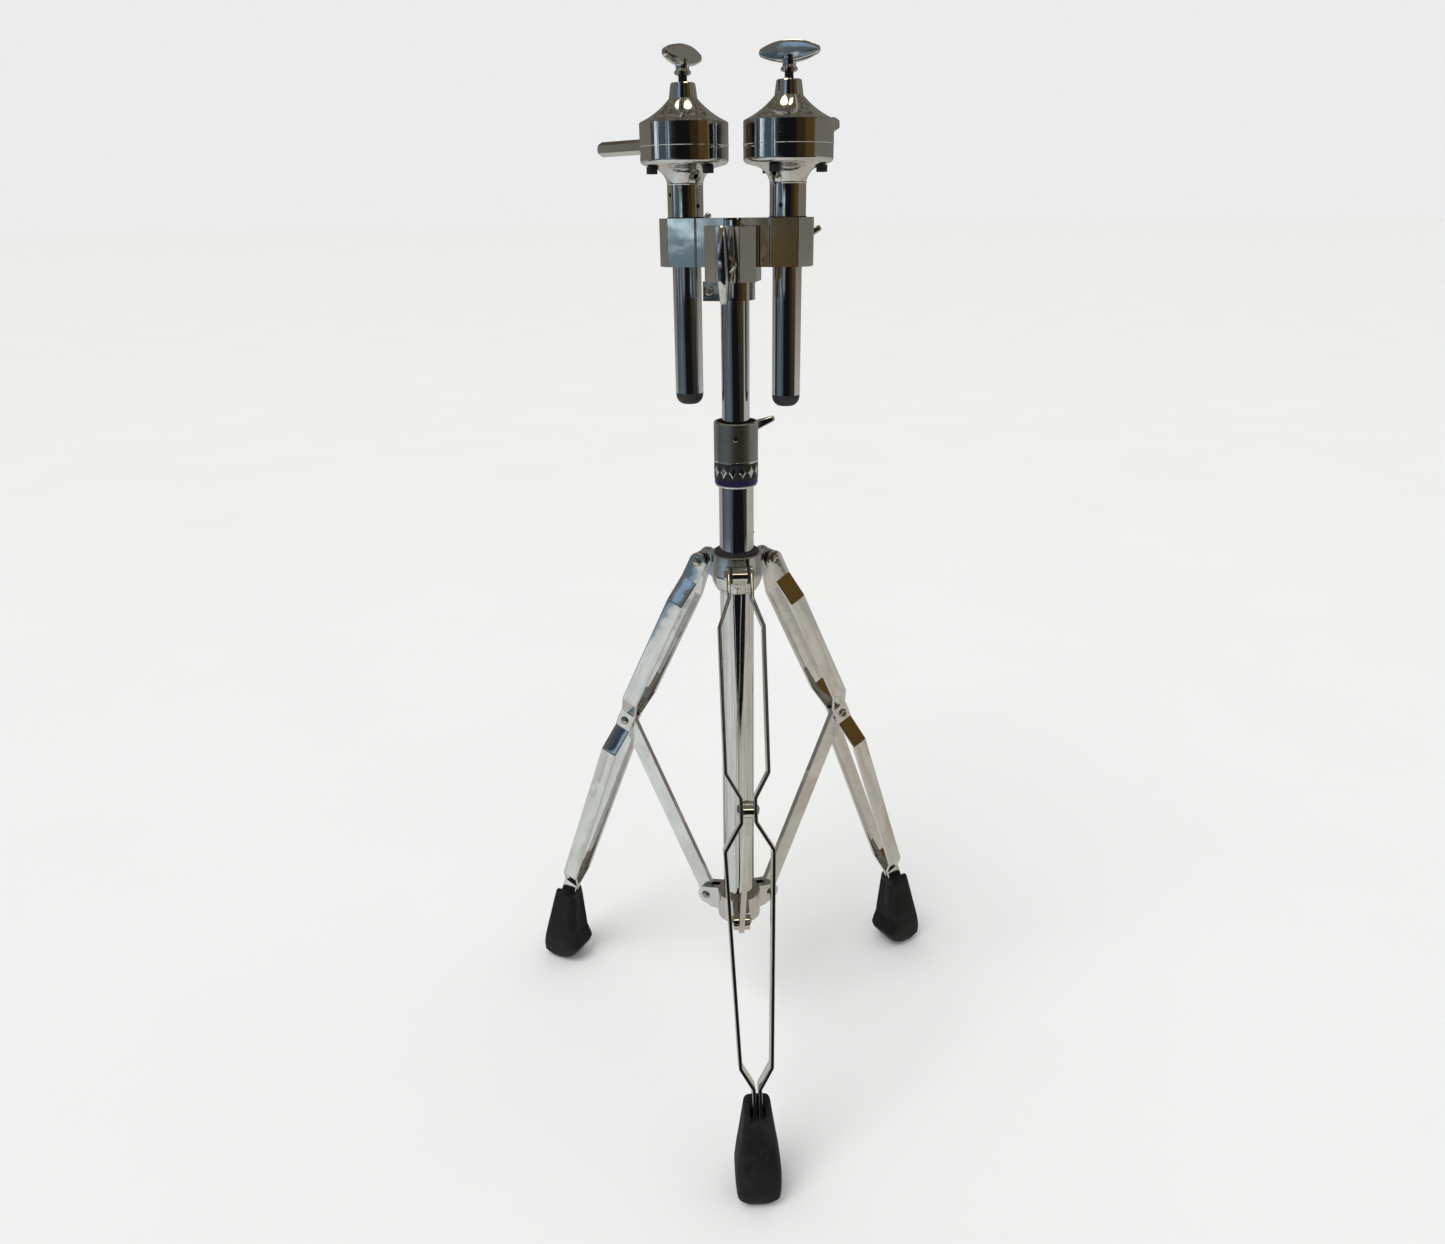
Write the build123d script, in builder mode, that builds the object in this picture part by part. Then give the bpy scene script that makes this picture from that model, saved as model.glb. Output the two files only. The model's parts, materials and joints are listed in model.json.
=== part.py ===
from build123d import *
from math import atan2, cos, degrees, hypot, radians, sin
import os

# Double drum stand: a folding tripod, a telescoping mast and a twin bracket that carries two ball heads.
# Millimetres, +Z up, the mast on the Z axis, the front leg towards -Y and the feet standing on Z = 0.

# ---------------------------------------------------------------- driving dimensions
RUN = 0.05  # radial running clearance between pieces that move on each other

TUBE_R = 11.1  # upper mast tube and both down tubes, 22.2 mm outside
TUBE_WALL = 1.5
MAST_R = 14.3  # lower mast tube, 28.6 mm outside
MAST_WALL = 1.6

LEG_ANGLES = {"front": -90, "left": 150, "right": 30}
HUB_PIVOT_R = 32.0  # pivots in the crown and in the leg collar, from the mast axis
CROWN_PIVOT_Z = 472.0
KNEE_R = 115.0
KNEE_DROP = 169.5  # crown pivot to knee, and knee to leg collar pivot
KNEE_Z = CROWN_PIVOT_Z - KNEE_DROP
COLLAR_PIVOT_Z = KNEE_Z - KNEE_DROP
FOOT_ENTRY_R = 197.5
FOOT_ENTRY_Z = 86.0
BAR_END_Z = 66.0
BAR_WIDTH = 15.5
BAR_THICKNESS = 3.0
LEG_PIN_R = 3.0
RIVET_HEAD_R = 4.3
RIVET_HEAD_H = 2.1

LUG_HALF = 6.0  # crown lug, half thickness
HUB_BAR_INNER = 7.9  # inner face of a leg bar at the crown, from the leg's middle plane
KNEE_BAR_INNER = 4.3
FOOT_BAR_INNER = 1.0

STRUT_THICKNESS = 5.0
STRUT_EYE_HALF = 4.15
STRUT_WIDTH = 15.0
COLLAR_PIN_R = 2.5
SLOT_TRAVEL = 3.6  # how far the collar pin travels along the strut's slot each way
SLOT_SIDE = 1.1  # room beside the collar pin in the slot
SLOT_END_WALL = 2.6
EAR_INNER = 2.7
EAR_THICKNESS = 4.8

CROWN_R = 21.3
CROWN_TOP = 483.0
CROWN_BOTTOM = 450.0
CROWN_SEAT_R = 18.9  # counterbore for the plastic bushing
CROWN_SCREW_ANGLE = 90
CROWN_SCREW_Z = 466.0
SCREW_BOSS_R = 8.0  # round boss that each wing screw threads into
COLLAR_R = 20.0
COLLAR_TOP = 146.0
COLLAR_BOTTOM = 119.0

BOSS_R = 17.8
BOSS_TOP = 592.0
BOSS_BOTTOM = 540.0
MAST_TOP = 586.0
MAST_BOTTOM = COLLAR_BOTTOM + 2
BAND_BOTTOM = 546.5
BAND_TOP = 560.0
BOSS_SCREW_ANGLE = 70
BOSS_SCREW_Z = 579.0
BOSS_SCREW_BOSS_R = 7.5
BOSS_SCREW_BASE = BOSS_R - 1.9  # inside the boss's wall, clear of the bushing's rim
BOSS_SCREW_FACE = 26.3
UPPER_TUBE_BOTTOM = 300.0
UPPER_TUBE_TOP = 742.0

BRACKET_YAW = -14.0  # the bracket stands turned a little on the mast
BRACKET_TOP = 743.5
BRACKET_BOTTOM = 709.0
BLOCK_TOP = 738.0
BLOCK_BOTTOM = 699.0
BLOCK_FRONT = 30.0
POST_SPREAD = 39.0  # each down tube from the bracket's middle
POST_SETBACK = 8.0  # the down tubes stand behind the mast tube

MEMORY_R = 15.5
MEMORY_TOP = BLOCK_BOTTOM - RUN
MEMORY_BOTTOM = 685.0
LUG_X = (-21.8, -7.0)  # the collar's clamp lug, inside the down tubes' swing
LUG_Y = (-16.8, -1.0)
LUG_MID_X = -16.9
LUG_RECESS = 2.2
MEMORY_SCREW_R = 2.2

WASHER_TOP = 744.3
SLEEVE_R = 13.6
SLEEVE_TOP = 768.0
POST_BOTTOM = 612.6
POST_TOP = 771.0
TIP_BOTTOM = 604.0  # rounded plug that hangs below each down tube
TIP_R = TUBE_R - 0.2
TIP_SPIGOT = 6.0
HEAD_R = 33.0
HEAD_INNER_R = 29.5
CUP_FLOOR = 782.0
SEAM_Z = 794.0
SHOULDER_Z = 809.6
NECK_BOTTOM = 825.3
NECK_TOP = 835.6
BALL_R = 14.0
BALL_Z = 795.0
HEX_ACROSS = 9.6
ROD_REACH = 98.0  # ball centre to the rod's free end
ROD_SINK = 9.0  # how deep the rod is pressed in past the ball's centre
WINDOW_HALF = 17.0
WINDOW_BOTTOM = 782.5
WINDOW_TOP = 808.0
SEAT_R = 12.0
SEAT_FLOOR = CUP_FLOOR - 3
CAP_SCREW_CIRCLE = 25.0
CAP_SCREW_R = 2.5
CAP_SCREW_HEAD_R = 4.1
CAP_SCREW_FACE = 779.4
CAP_SCREW_HEAD = 5.0
CAP_SCREW_DEPTH = 14.0
SET_SCREW_R = 1.7
SET_SCREWS = ((78, 760.0), (180, 752.0))  # turn from the rod, and height
# distance across the bracket, rod angle, rod tilt, wing angle
HEADS = {"left": (-POST_SPREAD, 132.0, 0.0, 56.0), "right": (POST_SPREAD, 61.0, 10.0, -26.0)}
HEAD_HUB_Z = 840.6  # underside of a head wing screw's hub

STUD_R = 3.5
LONG_WING = {"length": 54.0, "height": 15.0, "thickness": 8.0, "hub_r": 6.2, "hub": 9.0}
SHORT_WING = {"length": 46.0, "height": 14.2, "thickness": 8.0, "hub_r": 6.1, "hub": 7.0}

os.makedirs("parts", exist_ok=True)


def save(piece, name):
    """Labels a finished piece and writes it as its own node."""
    piece.part.label = name
    export_step(piece.part, f"parts/{name}.step")


def outward(angle):
    """Unit vector from the mast axis towards a compass angle."""
    return Vector(cos(radians(angle)), sin(radians(angle)), 0)


def side_plane(angle, origin=(0, 0, 0)):
    """Upright plane through origin: x runs outward, y runs up."""
    return Plane(origin=origin, x_dir=outward(angle), z_dir=outward(angle - 90))


def face_plane(angle, distance=0.0):
    """Upright plane square to a leg: x runs sideways, y runs up."""
    return Plane(origin=outward(angle) * distance, x_dir=outward(angle + 90), z_dir=outward(angle))


def turned(points, angle=-90, centre=(0, 0)):
    """A piece of revolution about an upright axis, from its half section as (radius, z) points."""
    with BuildPart() as piece:
        with BuildSketch(side_plane(angle, (*centre, 0))):
            with BuildLine():
                Polyline(*points, close=True)
            make_face()
        revolve(axis=Axis((*centre, 0), (0, 0, 1)))
    return piece


def tube_section(outer, inner, bottom, top):
    """Half section of a plain ring."""
    return [(inner, bottom), (outer, bottom), (outer, top), (inner, top)]


# ---------------------------------------------------------------- wing screws
def wing_screw(tip, axis_dir, wing_dir, stud_length, shape, pad=None):
    """A stud with a hub and a lens-shaped wing, from the stud's tip outwards along axis_dir."""
    stud = Plane(origin=tip, x_dir=wing_dir, z_dir=axis_dir)
    hub_end = stud_length + shape["hub"]
    middle = hub_end + shape["height"] / 2 - 1.2
    flat = Plane(origin=stud.origin + stud.z_dir * middle, x_dir=stud.x_dir, z_dir=stud.y_dir)
    top = Plane(origin=stud.origin + stud.z_dir * middle, x_dir=stud.x_dir, z_dir=stud.z_dir)
    half = shape["length"] / 2
    with BuildPart() as screw:
        with BuildSketch(flat):
            with BuildLine():
                rise = shape["height"] / 2
                ThreePointArc((-half, -1.6), (0, -rise), (half, -1.6))
                Line((half, -1.6), (half, 1.6))
                ThreePointArc((half, 1.6), (0, rise), (-half, 1.6))
                Line((-half, 1.6), (-half, -1.6))
            make_face()
        extrude(amount=shape["thickness"] / 2, both=True)
        with BuildSketch(top):
            with BuildLine():
                width = shape["thickness"] / 2
                ThreePointArc((-half, -2.2), (0, -width), (half, -2.2))
                Line((half, -2.2), (half, 2.2))
                ThreePointArc((half, 2.2), (0, width), (-half, 2.2))
                Line((-half, 2.2), (-half, -2.2))
            make_face()
        extrude(amount=shape["height"], both=True, mode=Mode.INTERSECT)
        with BuildSketch(stud.offset(stud_length)):
            Circle(shape["hub_r"])
        extrude(amount=shape["hub"] + 3)
        with BuildSketch(stud):
            Circle(STUD_R)
        extrude(amount=stud_length + 1)
        if pad is not None:
            with BuildSketch(stud):
                Circle(pad["radius"])
            extrude(amount=pad["height"])
            with Locations(pad["ball"]):
                Sphere(BALL_R + RUN, mode=Mode.SUBTRACT)
    return screw


def leaning(angle, lean):
    """Wing direction that leans up by lean degrees, on a screw that points along angle."""
    return outward(angle - 90) * cos(radians(lean)) + Vector(0, 0, sin(radians(lean)))


# ---------------------------------------------------------------- crown and its bushing
def crown_lug(angle):
    """One lug of the crown, between the two bars of a leg."""
    with BuildPart() as lug:
        with BuildSketch(side_plane(angle)):
            with BuildLine():
                Polyline(
                    (MAST_R + 2, CROWN_BOTTOM + 6),
                    (HUB_PIVOT_R - 3, CROWN_PIVOT_Z - 7),
                    (HUB_PIVOT_R - 3, CROWN_PIVOT_Z + 7),
                    (MAST_R + 2, CROWN_TOP - 1.5),
                    close=True,
                )
            make_face()
            with Locations((HUB_PIVOT_R, CROWN_PIVOT_Z)):
                Circle(7.2)
        extrude(amount=LUG_HALF, both=True)
    return lug.part


crown_lugs = [crown_lug(leg_angle) for leg_angle in LEG_ANGLES.values()]
with BuildPart() as crown:
    with BuildSketch(side_plane(0)):
        with BuildLine():
            foot_of_flare = (CROWN_R - 5, CROWN_BOTTOM)
            top_of_flare = (CROWN_R, CROWN_BOTTOM + 15)
            Line((MAST_R - 2, CROWN_BOTTOM), foot_of_flare)
            ThreePointArc(foot_of_flare, (CROWN_R - 1.2, CROWN_BOTTOM + 6.5), top_of_flare)
            Line(top_of_flare, (CROWN_R, CROWN_TOP - 1))
            Line((CROWN_R, CROWN_TOP - 1), (CROWN_R - 1, CROWN_TOP))
            Line((CROWN_R - 1, CROWN_TOP), (MAST_R - 2, CROWN_TOP))
            Line((MAST_R - 2, CROWN_TOP), (MAST_R - 2, CROWN_BOTTOM))
        make_face()
    revolve(axis=Axis.Z)
    add(crown_lugs)
    with BuildSketch(face_plane(CROWN_SCREW_ANGLE, MAST_R + 2)):
        with Locations((0, CROWN_SCREW_Z)):
            Circle(SCREW_BOSS_R)
    extrude(amount=13)
    with BuildSketch(face_plane(CROWN_SCREW_ANGLE)):
        with Locations((0, CROWN_SCREW_Z)):
            Circle(STUD_R + RUN)
    extrude(amount=40, mode=Mode.SUBTRACT)
    for leg_angle in LEG_ANGLES.values():
        with BuildSketch(side_plane(leg_angle)):
            with Locations((HUB_PIVOT_R, CROWN_PIVOT_Z)):
                Circle(LEG_PIN_R)
        extrude(amount=2 * LUG_HALF, both=True, mode=Mode.SUBTRACT)
    with BuildSketch(Plane.XY.offset(CROWN_BOTTOM - 1)):
        Circle(MAST_R + RUN)
    extrude(amount=CROWN_TOP - CROWN_BOTTOM + 2, mode=Mode.SUBTRACT)
    with BuildSketch(Plane.XY.offset(CROWN_TOP - 6)):
        Circle(CROWN_SEAT_R)
    extrude(amount=7, mode=Mode.SUBTRACT)
save(crown, "crown")

save(
    turned(
        [
            (MAST_R + RUN, CROWN_TOP - 6),
            (CROWN_SEAT_R, CROWN_TOP - 6),
            (CROWN_SEAT_R, CROWN_TOP + 0.6),
            (CROWN_SEAT_R - 1, CROWN_TOP + 1.6),
            (MAST_R + RUN, CROWN_TOP + 1.6),
        ]
    ),
    "crown_bushing",
)
save(
    wing_screw(
        outward(CROWN_SCREW_ANGLE) * (MAST_R + RUN) + Vector(0, 0, CROWN_SCREW_Z),
        outward(CROWN_SCREW_ANGLE),
        leaning(CROWN_SCREW_ANGLE, 47),
        19,
        LONG_WING,
    ),
    "crown_wing_screw",
)

# one rivet and two friction washers at the top of each leg
with BuildPart() as crown_pins:
    for leg_angle in LEG_ANGLES.values():
        reach = HUB_BAR_INNER + BAR_THICKNESS + RUN
        with BuildSketch(side_plane(leg_angle)):
            with Locations((HUB_PIVOT_R, CROWN_PIVOT_Z)):
                Circle(LEG_PIN_R)
        extrude(amount=reach + 0.5, both=True)
        for side in (-1, 1):
            head_base = side_plane(leg_angle).offset(side * reach)
            with BuildSketch(head_base):
                with Locations((HUB_PIVOT_R, CROWN_PIVOT_Z)):
                    Circle(RIVET_HEAD_R)
            extrude(amount=side * RIVET_HEAD_H, taper=20)
save(crown_pins, "crown_pins")

with BuildPart() as pivot_washers:
    for leg_angle in LEG_ANGLES.values():
        for side in (-1, 1):
            with BuildSketch(side_plane(leg_angle).offset(side * LUG_HALF)):
                with Locations((HUB_PIVOT_R, CROWN_PIVOT_Z)):
                    Circle(7)
                    Circle(LEG_PIN_R, mode=Mode.SUBTRACT)
            extrude(amount=side * (HUB_BAR_INNER - LUG_HALF - RUN))
save(pivot_washers, "pivot_washers")


# ---------------------------------------------------------------- legs
HUB_FACE = HUB_BAR_INNER + BAR_THICKNESS / 2
KNEE_FACE = KNEE_BAR_INNER + BAR_THICKNESS / 2
FOOT_FACE = FOOT_BAR_INNER + BAR_THICKNESS / 2
LOWER_LEAN = (FOOT_ENTRY_R - KNEE_R) / (KNEE_Z - FOOT_ENTRY_Z)
CROWN_PIVOT = (HUB_PIVOT_R, CROWN_PIVOT_Z)
KNEE = (KNEE_R, KNEE_Z)
BAR_END = (FOOT_ENTRY_R + LOWER_LEAN * (FOOT_ENTRY_Z - BAR_END_Z), BAR_END_Z)
UPPER_RUN = hypot(KNEE_R - HUB_PIVOT_R, KNEE_DROP)
FLAT = 8.0  # how far each run stays flat past the knee
# (sideways, distance along the run) of a bar's middle line
UPPER_BENDS = [  # from the crown pivot
    (HUB_FACE, -10),
    (HUB_FACE, 19),
    (17.9, 42),
    (17.2, 159),
    (KNEE_FACE, 179.3),
    (KNEE_FACE, UPPER_RUN + FLAT),
]
LOWER_BENDS = [  # from the knee
    (KNEE_FACE, -FLAT),
    (KNEE_FACE, 9.2),
    (19.4, 31.6),
    (12.6, 205),
    (FOOT_FACE, 222),
    (FOOT_FACE, 262),
]
BEND_R = 3.2


def bar_run(angle, side, start, end, bends):
    """One straight run of a bar, from start to end as (r, z): a strip whose bends are square to the run."""
    origin = outward(angle) * start[0] + Vector(0, 0, start[1])
    along = outward(angle) * (end[0] - start[0]) + Vector(0, 0, end[1] - start[1])
    sideways = outward(angle + 90)
    with BuildPart() as run:
        with BuildSketch(Plane(origin=origin, x_dir=sideways, z_dir=sideways.cross(along))):
            with BuildLine():
                FilletPolyline(*[(side * across, distance) for across, distance in bends], radius=BEND_R)
            trace(line_width=BAR_THICKNESS)
        extrude(amount=BAR_WIDTH, both=True)
    return run.part


def bar_side_view():
    """The bar's outline in the leg's own plane: two straight runs that meet at the knee."""
    for (r_a, z_a), (r_b, z_b) in ((CROWN_PIVOT, KNEE), (KNEE, BAR_END)):
        slope = degrees(atan2(z_b - z_a, r_b - r_a))
        with Locations(Location(((r_a + r_b) / 2, (z_a + z_b) / 2, 0), (0, 0, slope))):
            Rectangle(hypot(r_b - r_a, z_b - z_a), BAR_WIDTH)
    with Locations(CROWN_PIVOT, KNEE):
        Circle(BAR_WIDTH / 2)


def leg_bar(angle, side):
    """One bowed flat bar; side is +1 or -1."""
    upper = bar_run(angle, side, CROWN_PIVOT, KNEE, UPPER_BENDS)
    lower = bar_run(angle, side, KNEE, BAR_END, LOWER_BENDS)
    with BuildPart() as bar:
        add(upper)
        add(lower)
        with BuildSketch(side_plane(angle)):
            bar_side_view()
        extrude(amount=30, both=True, mode=Mode.INTERSECT)
        with BuildSketch(side_plane(angle)):
            with Locations(CROWN_PIVOT):
                Circle(LEG_PIN_R + RUN)
            with Locations(KNEE):
                Circle(LEG_PIN_R)
        extrude(amount=30, both=True, mode=Mode.SUBTRACT)
    return bar


def foot(angle, bars):
    """Rubber boot pressed over the two bar ends."""
    with BuildPart() as boot:
        with BuildSketch(side_plane(angle)):
            with BuildLine():
                Line((189, 82.5), (211, 85))
                Line((211, 85), (228.5, 16))
                ThreePointArc((228.5, 16), (226.6, 4.4), (216, 0))
                Line((216, 0), (206, 0))
                ThreePointArc((206, 0), (193, 6), (183.5, 19))
                Line((183.5, 19), (189, 31))
                Line((189, 31), (189, 82.5))
            make_face()
        extrude(amount=25, both=True)
        with BuildSketch(face_plane(angle)):
            with BuildLine():
                Line((-10.5, 90), (10.5, 90))
                Line((10.5, 90), (14.8, 55))
                ThreePointArc((14.8, 55), (18.6, 34), (18.6, 18))
                ThreePointArc((18.6, 18), (14.5, 4.5), (7, 0))
                Line((7, 0), (-7, 0))
                ThreePointArc((-7, 0), (-14.5, 4.5), (-18.6, 18))
                ThreePointArc((-18.6, 18), (-18.6, 34), (-14.8, 55))
                Line((-14.8, 55), (-10.5, 90))
            make_face()
        extrude(amount=260, mode=Mode.INTERSECT)
        corners = boot.edges().filter_by(lambda edge: edge.bounding_box().size.Z > 25)
        fillet(corners, 3)
        with BuildSketch(face_plane(angle, 205)):
            with Locations((0, 85)):
                Rectangle(14, 30)
        extrude(amount=30, mode=Mode.SUBTRACT)
        for bar in bars:
            add(bar.part, mode=Mode.SUBTRACT)
    return boot


def knee_pin(angle):
    """Rivet through both bars and the strut's eye."""
    with BuildPart() as pin:
        with BuildSketch(side_plane(angle)):
            with Locations((KNEE_R, KNEE_Z)):
                Circle(LEG_PIN_R)
        extrude(amount=KNEE_BAR_INNER + BAR_THICKNESS + 0.5, both=True)
        for side in (-1, 1):
            with BuildSketch(side_plane(angle).offset(side * (KNEE_BAR_INNER + BAR_THICKNESS))):
                with Locations((KNEE_R, KNEE_Z)):
                    Circle(RIVET_HEAD_R)
            extrude(amount=side * RIVET_HEAD_H, taper=20)
    return pin


def strut(angle):
    """Flat link from the knee to the leg collar, with a round eye above and a slot below."""
    length = hypot(KNEE_R - HUB_PIVOT_R, KNEE_DROP)
    tilt = degrees(atan2(-KNEE_DROP, HUB_PIVOT_R - KNEE_R))
    slot_r = COLLAR_PIN_R + SLOT_SIDE
    end = SLOT_TRAVEL + slot_r + SLOT_END_WALL
    with BuildPart() as link:
        with BuildSketch(side_plane(angle)):
            with Locations(Location((KNEE_R, KNEE_Z, 0), (0, 0, tilt))):
                with Locations((length / 2, 0)):
                    Rectangle(length, STRUT_WIDTH)
                with Locations((length + end / 2 - STRUT_WIDTH / 4, 0)):
                    SlotOverall(end + STRUT_WIDTH / 2 + STRUT_WIDTH, STRUT_WIDTH)
                Circle(STRUT_WIDTH / 2)
        extrude(amount=STRUT_THICKNESS / 2, both=True)
        with BuildSketch(side_plane(angle)):
            with Locations((KNEE_R, KNEE_Z)):
                Circle(STRUT_WIDTH / 2 - 0.4)
        extrude(amount=STRUT_EYE_HALF, both=True)
        with BuildSketch(side_plane(angle)):
            with Locations((KNEE_R, KNEE_Z)):
                Circle(LEG_PIN_R + RUN)
            with Locations(Location((KNEE_R, KNEE_Z, 0), (0, 0, tilt))):
                with Locations((length, 0)):
                    SlotOverall(2 * (SLOT_TRAVEL + slot_r), 2 * slot_r)
        extrude(amount=10, both=True, mode=Mode.SUBTRACT)
    return link


for leg, leg_angle in LEG_ANGLES.items():
    leg_bars = [leg_bar(leg_angle, side) for side in (-1, 1)]
    save(leg_bars[0], f"{leg}_leg_bar_a")
    save(leg_bars[1], f"{leg}_leg_bar_b")
    save(foot(leg_angle, leg_bars), f"{leg}_foot")
    save(knee_pin(leg_angle), f"{leg}_knee_pin")
    save(strut(leg_angle), f"{leg}_strut")


# ---------------------------------------------------------------- lower mast
def collar_ear(angle, side):
    """One of the two ears that hold the lower end of a strut; side is +1 or -1."""
    with BuildPart() as ear:
        with BuildSketch(side_plane(angle).offset(side * EAR_INNER)):
            with BuildLine():
                Polyline(
                    (COLLAR_R - 4, COLLAR_BOTTOM + 1),
                    (HUB_PIVOT_R - 1, COLLAR_PIVOT_Z - 9.6),
                    (HUB_PIVOT_R - 1, COLLAR_PIVOT_Z + 9),
                    (COLLAR_R - 4, COLLAR_TOP - 0.5),
                    close=True,
                )
            make_face()
            with Locations((HUB_PIVOT_R - 1, COLLAR_PIVOT_Z - 0.3)):
                Circle(9.3)
        extrude(amount=side * EAR_THICKNESS)
    return ear.part


collar_ears = [collar_ear(leg_angle, side) for leg_angle in LEG_ANGLES.values() for side in (-1, 1)]
with BuildPart() as leg_collar:
    with BuildSketch(Plane.XY.offset(COLLAR_BOTTOM)):
        Circle(COLLAR_R)
    extrude(amount=COLLAR_TOP - COLLAR_BOTTOM)
    chamfer(leg_collar.edges().filter_by(GeomType.CIRCLE), 1)
    add(collar_ears)
    with BuildSketch(Plane.XY.offset(COLLAR_BOTTOM - 1)):
        Circle(MAST_R)
    extrude(amount=COLLAR_TOP - COLLAR_BOTTOM + 2, mode=Mode.SUBTRACT)
    for leg_angle in LEG_ANGLES.values():
        with BuildSketch(side_plane(leg_angle)):
            with Locations((HUB_PIVOT_R, COLLAR_PIVOT_Z)):
                Circle(COLLAR_PIN_R)
        extrude(amount=20, both=True, mode=Mode.SUBTRACT)
save(leg_collar, "leg_collar")

with BuildPart() as collar_pins:
    for leg_angle in LEG_ANGLES.values():
        reach = EAR_INNER + EAR_THICKNESS
        with BuildSketch(side_plane(leg_angle)):
            with Locations((HUB_PIVOT_R, COLLAR_PIVOT_Z)):
                Circle(COLLAR_PIN_R)
        extrude(amount=reach + 0.5, both=True)
        for side in (-1, 1):
            with BuildSketch(side_plane(leg_angle).offset(side * reach)):
                with Locations((HUB_PIVOT_R, COLLAR_PIVOT_Z)):
                    Circle(RIVET_HEAD_R)
            extrude(amount=side * RIVET_HEAD_H, taper=20)
save(collar_pins, "collar_pins")

with BuildPart() as mast_tube:
    with BuildSketch(Plane.XY.offset(MAST_BOTTOM)):
        Circle(MAST_R)
        Circle(MAST_R - MAST_WALL, mode=Mode.SUBTRACT)
    extrude(amount=MAST_TOP - MAST_BOTTOM)
    with BuildSketch(face_plane(BOSS_SCREW_ANGLE, 5)):
        with Locations((0, BOSS_SCREW_Z)):
            Circle(STUD_R + RUN)
    extrude(amount=15, mode=Mode.SUBTRACT)
save(mast_tube, "mast_tube")

BAND_SEAT_R = BOSS_R - 1.4
with BuildPart() as height_boss:
    with BuildSketch(side_plane(0)):
        with BuildLine():
            Polyline(
                (MAST_R, BOSS_BOTTOM),
                (BOSS_R - 1.2, BOSS_BOTTOM),
                (BOSS_R - 0.7, BOSS_BOTTOM + 1.5),
                (BAND_SEAT_R, BOSS_BOTTOM + 1.5),
                (BAND_SEAT_R, BAND_TOP),
                (BOSS_R + 0.2, BAND_TOP),
                (BOSS_R + 0.2, BAND_TOP + 1.2),
                (BOSS_R, BAND_TOP + 1.6),
                (BOSS_R, BOSS_TOP - 0.8),
                (BOSS_R - 0.8, BOSS_TOP),
                (BOSS_R - 2, BOSS_TOP),
                (BOSS_R - 2, MAST_TOP),
                (MAST_R, MAST_TOP),
                close=True,
            )
        make_face()
    revolve(axis=Axis.Z)
    with BuildSketch(face_plane(BOSS_SCREW_ANGLE, BOSS_SCREW_BASE)):
        with Locations((0, BOSS_SCREW_Z)):
            Circle(BOSS_SCREW_BOSS_R)
    extrude(amount=BOSS_SCREW_FACE - BOSS_SCREW_BASE)
    with BuildSketch(face_plane(BOSS_SCREW_ANGLE)):
        with Locations((0, BOSS_SCREW_Z)):
            Circle(STUD_R + RUN)
    extrude(amount=40, mode=Mode.SUBTRACT)
    with BuildSketch(face_plane(-95, BOSS_R - 1.6)):
        with Locations((0, 580.5)):
            Circle(1.7)
    extrude(amount=4, mode=Mode.SUBTRACT)
save(height_boss, "height_boss")

save(turned(tube_section(BOSS_R, BAND_SEAT_R, BAND_BOTTOM, BAND_TOP)), "boss_band")
save(
    turned(
        [
            (BAND_SEAT_R, BOSS_BOTTOM + 1.5),
            (BOSS_R - 0.7, BOSS_BOTTOM + 1.5),
            (BOSS_R - 0.2, BOSS_BOTTOM + 2.5),
            (BOSS_R - 0.2, BAND_BOTTOM),
            (BAND_SEAT_R, BAND_BOTTOM),
        ]
    ),
    "boss_trim_ring",
)
save(
    turned(
        [
            (TUBE_R + RUN, BOSS_BOTTOM),
            (MAST_R - MAST_WALL, BOSS_BOTTOM),
            (MAST_R - MAST_WALL, MAST_TOP),
            (BOSS_R - 2.1, MAST_TOP),
            (BOSS_R - 2.1, MAST_TOP + 3),
            (TUBE_R + 1, MAST_TOP + 3),
            (TUBE_R + RUN, MAST_TOP + 2),
        ]
    ),
    "boss_bushing",
)
save(
    wing_screw(
        outward(BOSS_SCREW_ANGLE) * (MAST_R - MAST_WALL + RUN) + Vector(0, 0, BOSS_SCREW_Z),
        outward(BOSS_SCREW_ANGLE),
        leaning(BOSS_SCREW_ANGLE, 20),
        15.5,
        SHORT_WING,
    ),
    "boss_wing_screw",
)

# ---------------------------------------------------------------- upper tube and memory collar
save(turned(tube_section(TUBE_R, TUBE_R - TUBE_WALL, UPPER_TUBE_BOTTOM, UPPER_TUBE_TOP)), "upper_tube")

bracket_frame = Plane(origin=(0, 0, 0), x_dir=outward(BRACKET_YAW), z_dir=(0, 0, 1))
BRACKET_FACING = BRACKET_YAW - 90


def from_bracket(x, y, z=0.0):
    """A point given in the bracket's own turned frame."""
    return bracket_frame.from_local_coords(Vector(x, y, z))


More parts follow.
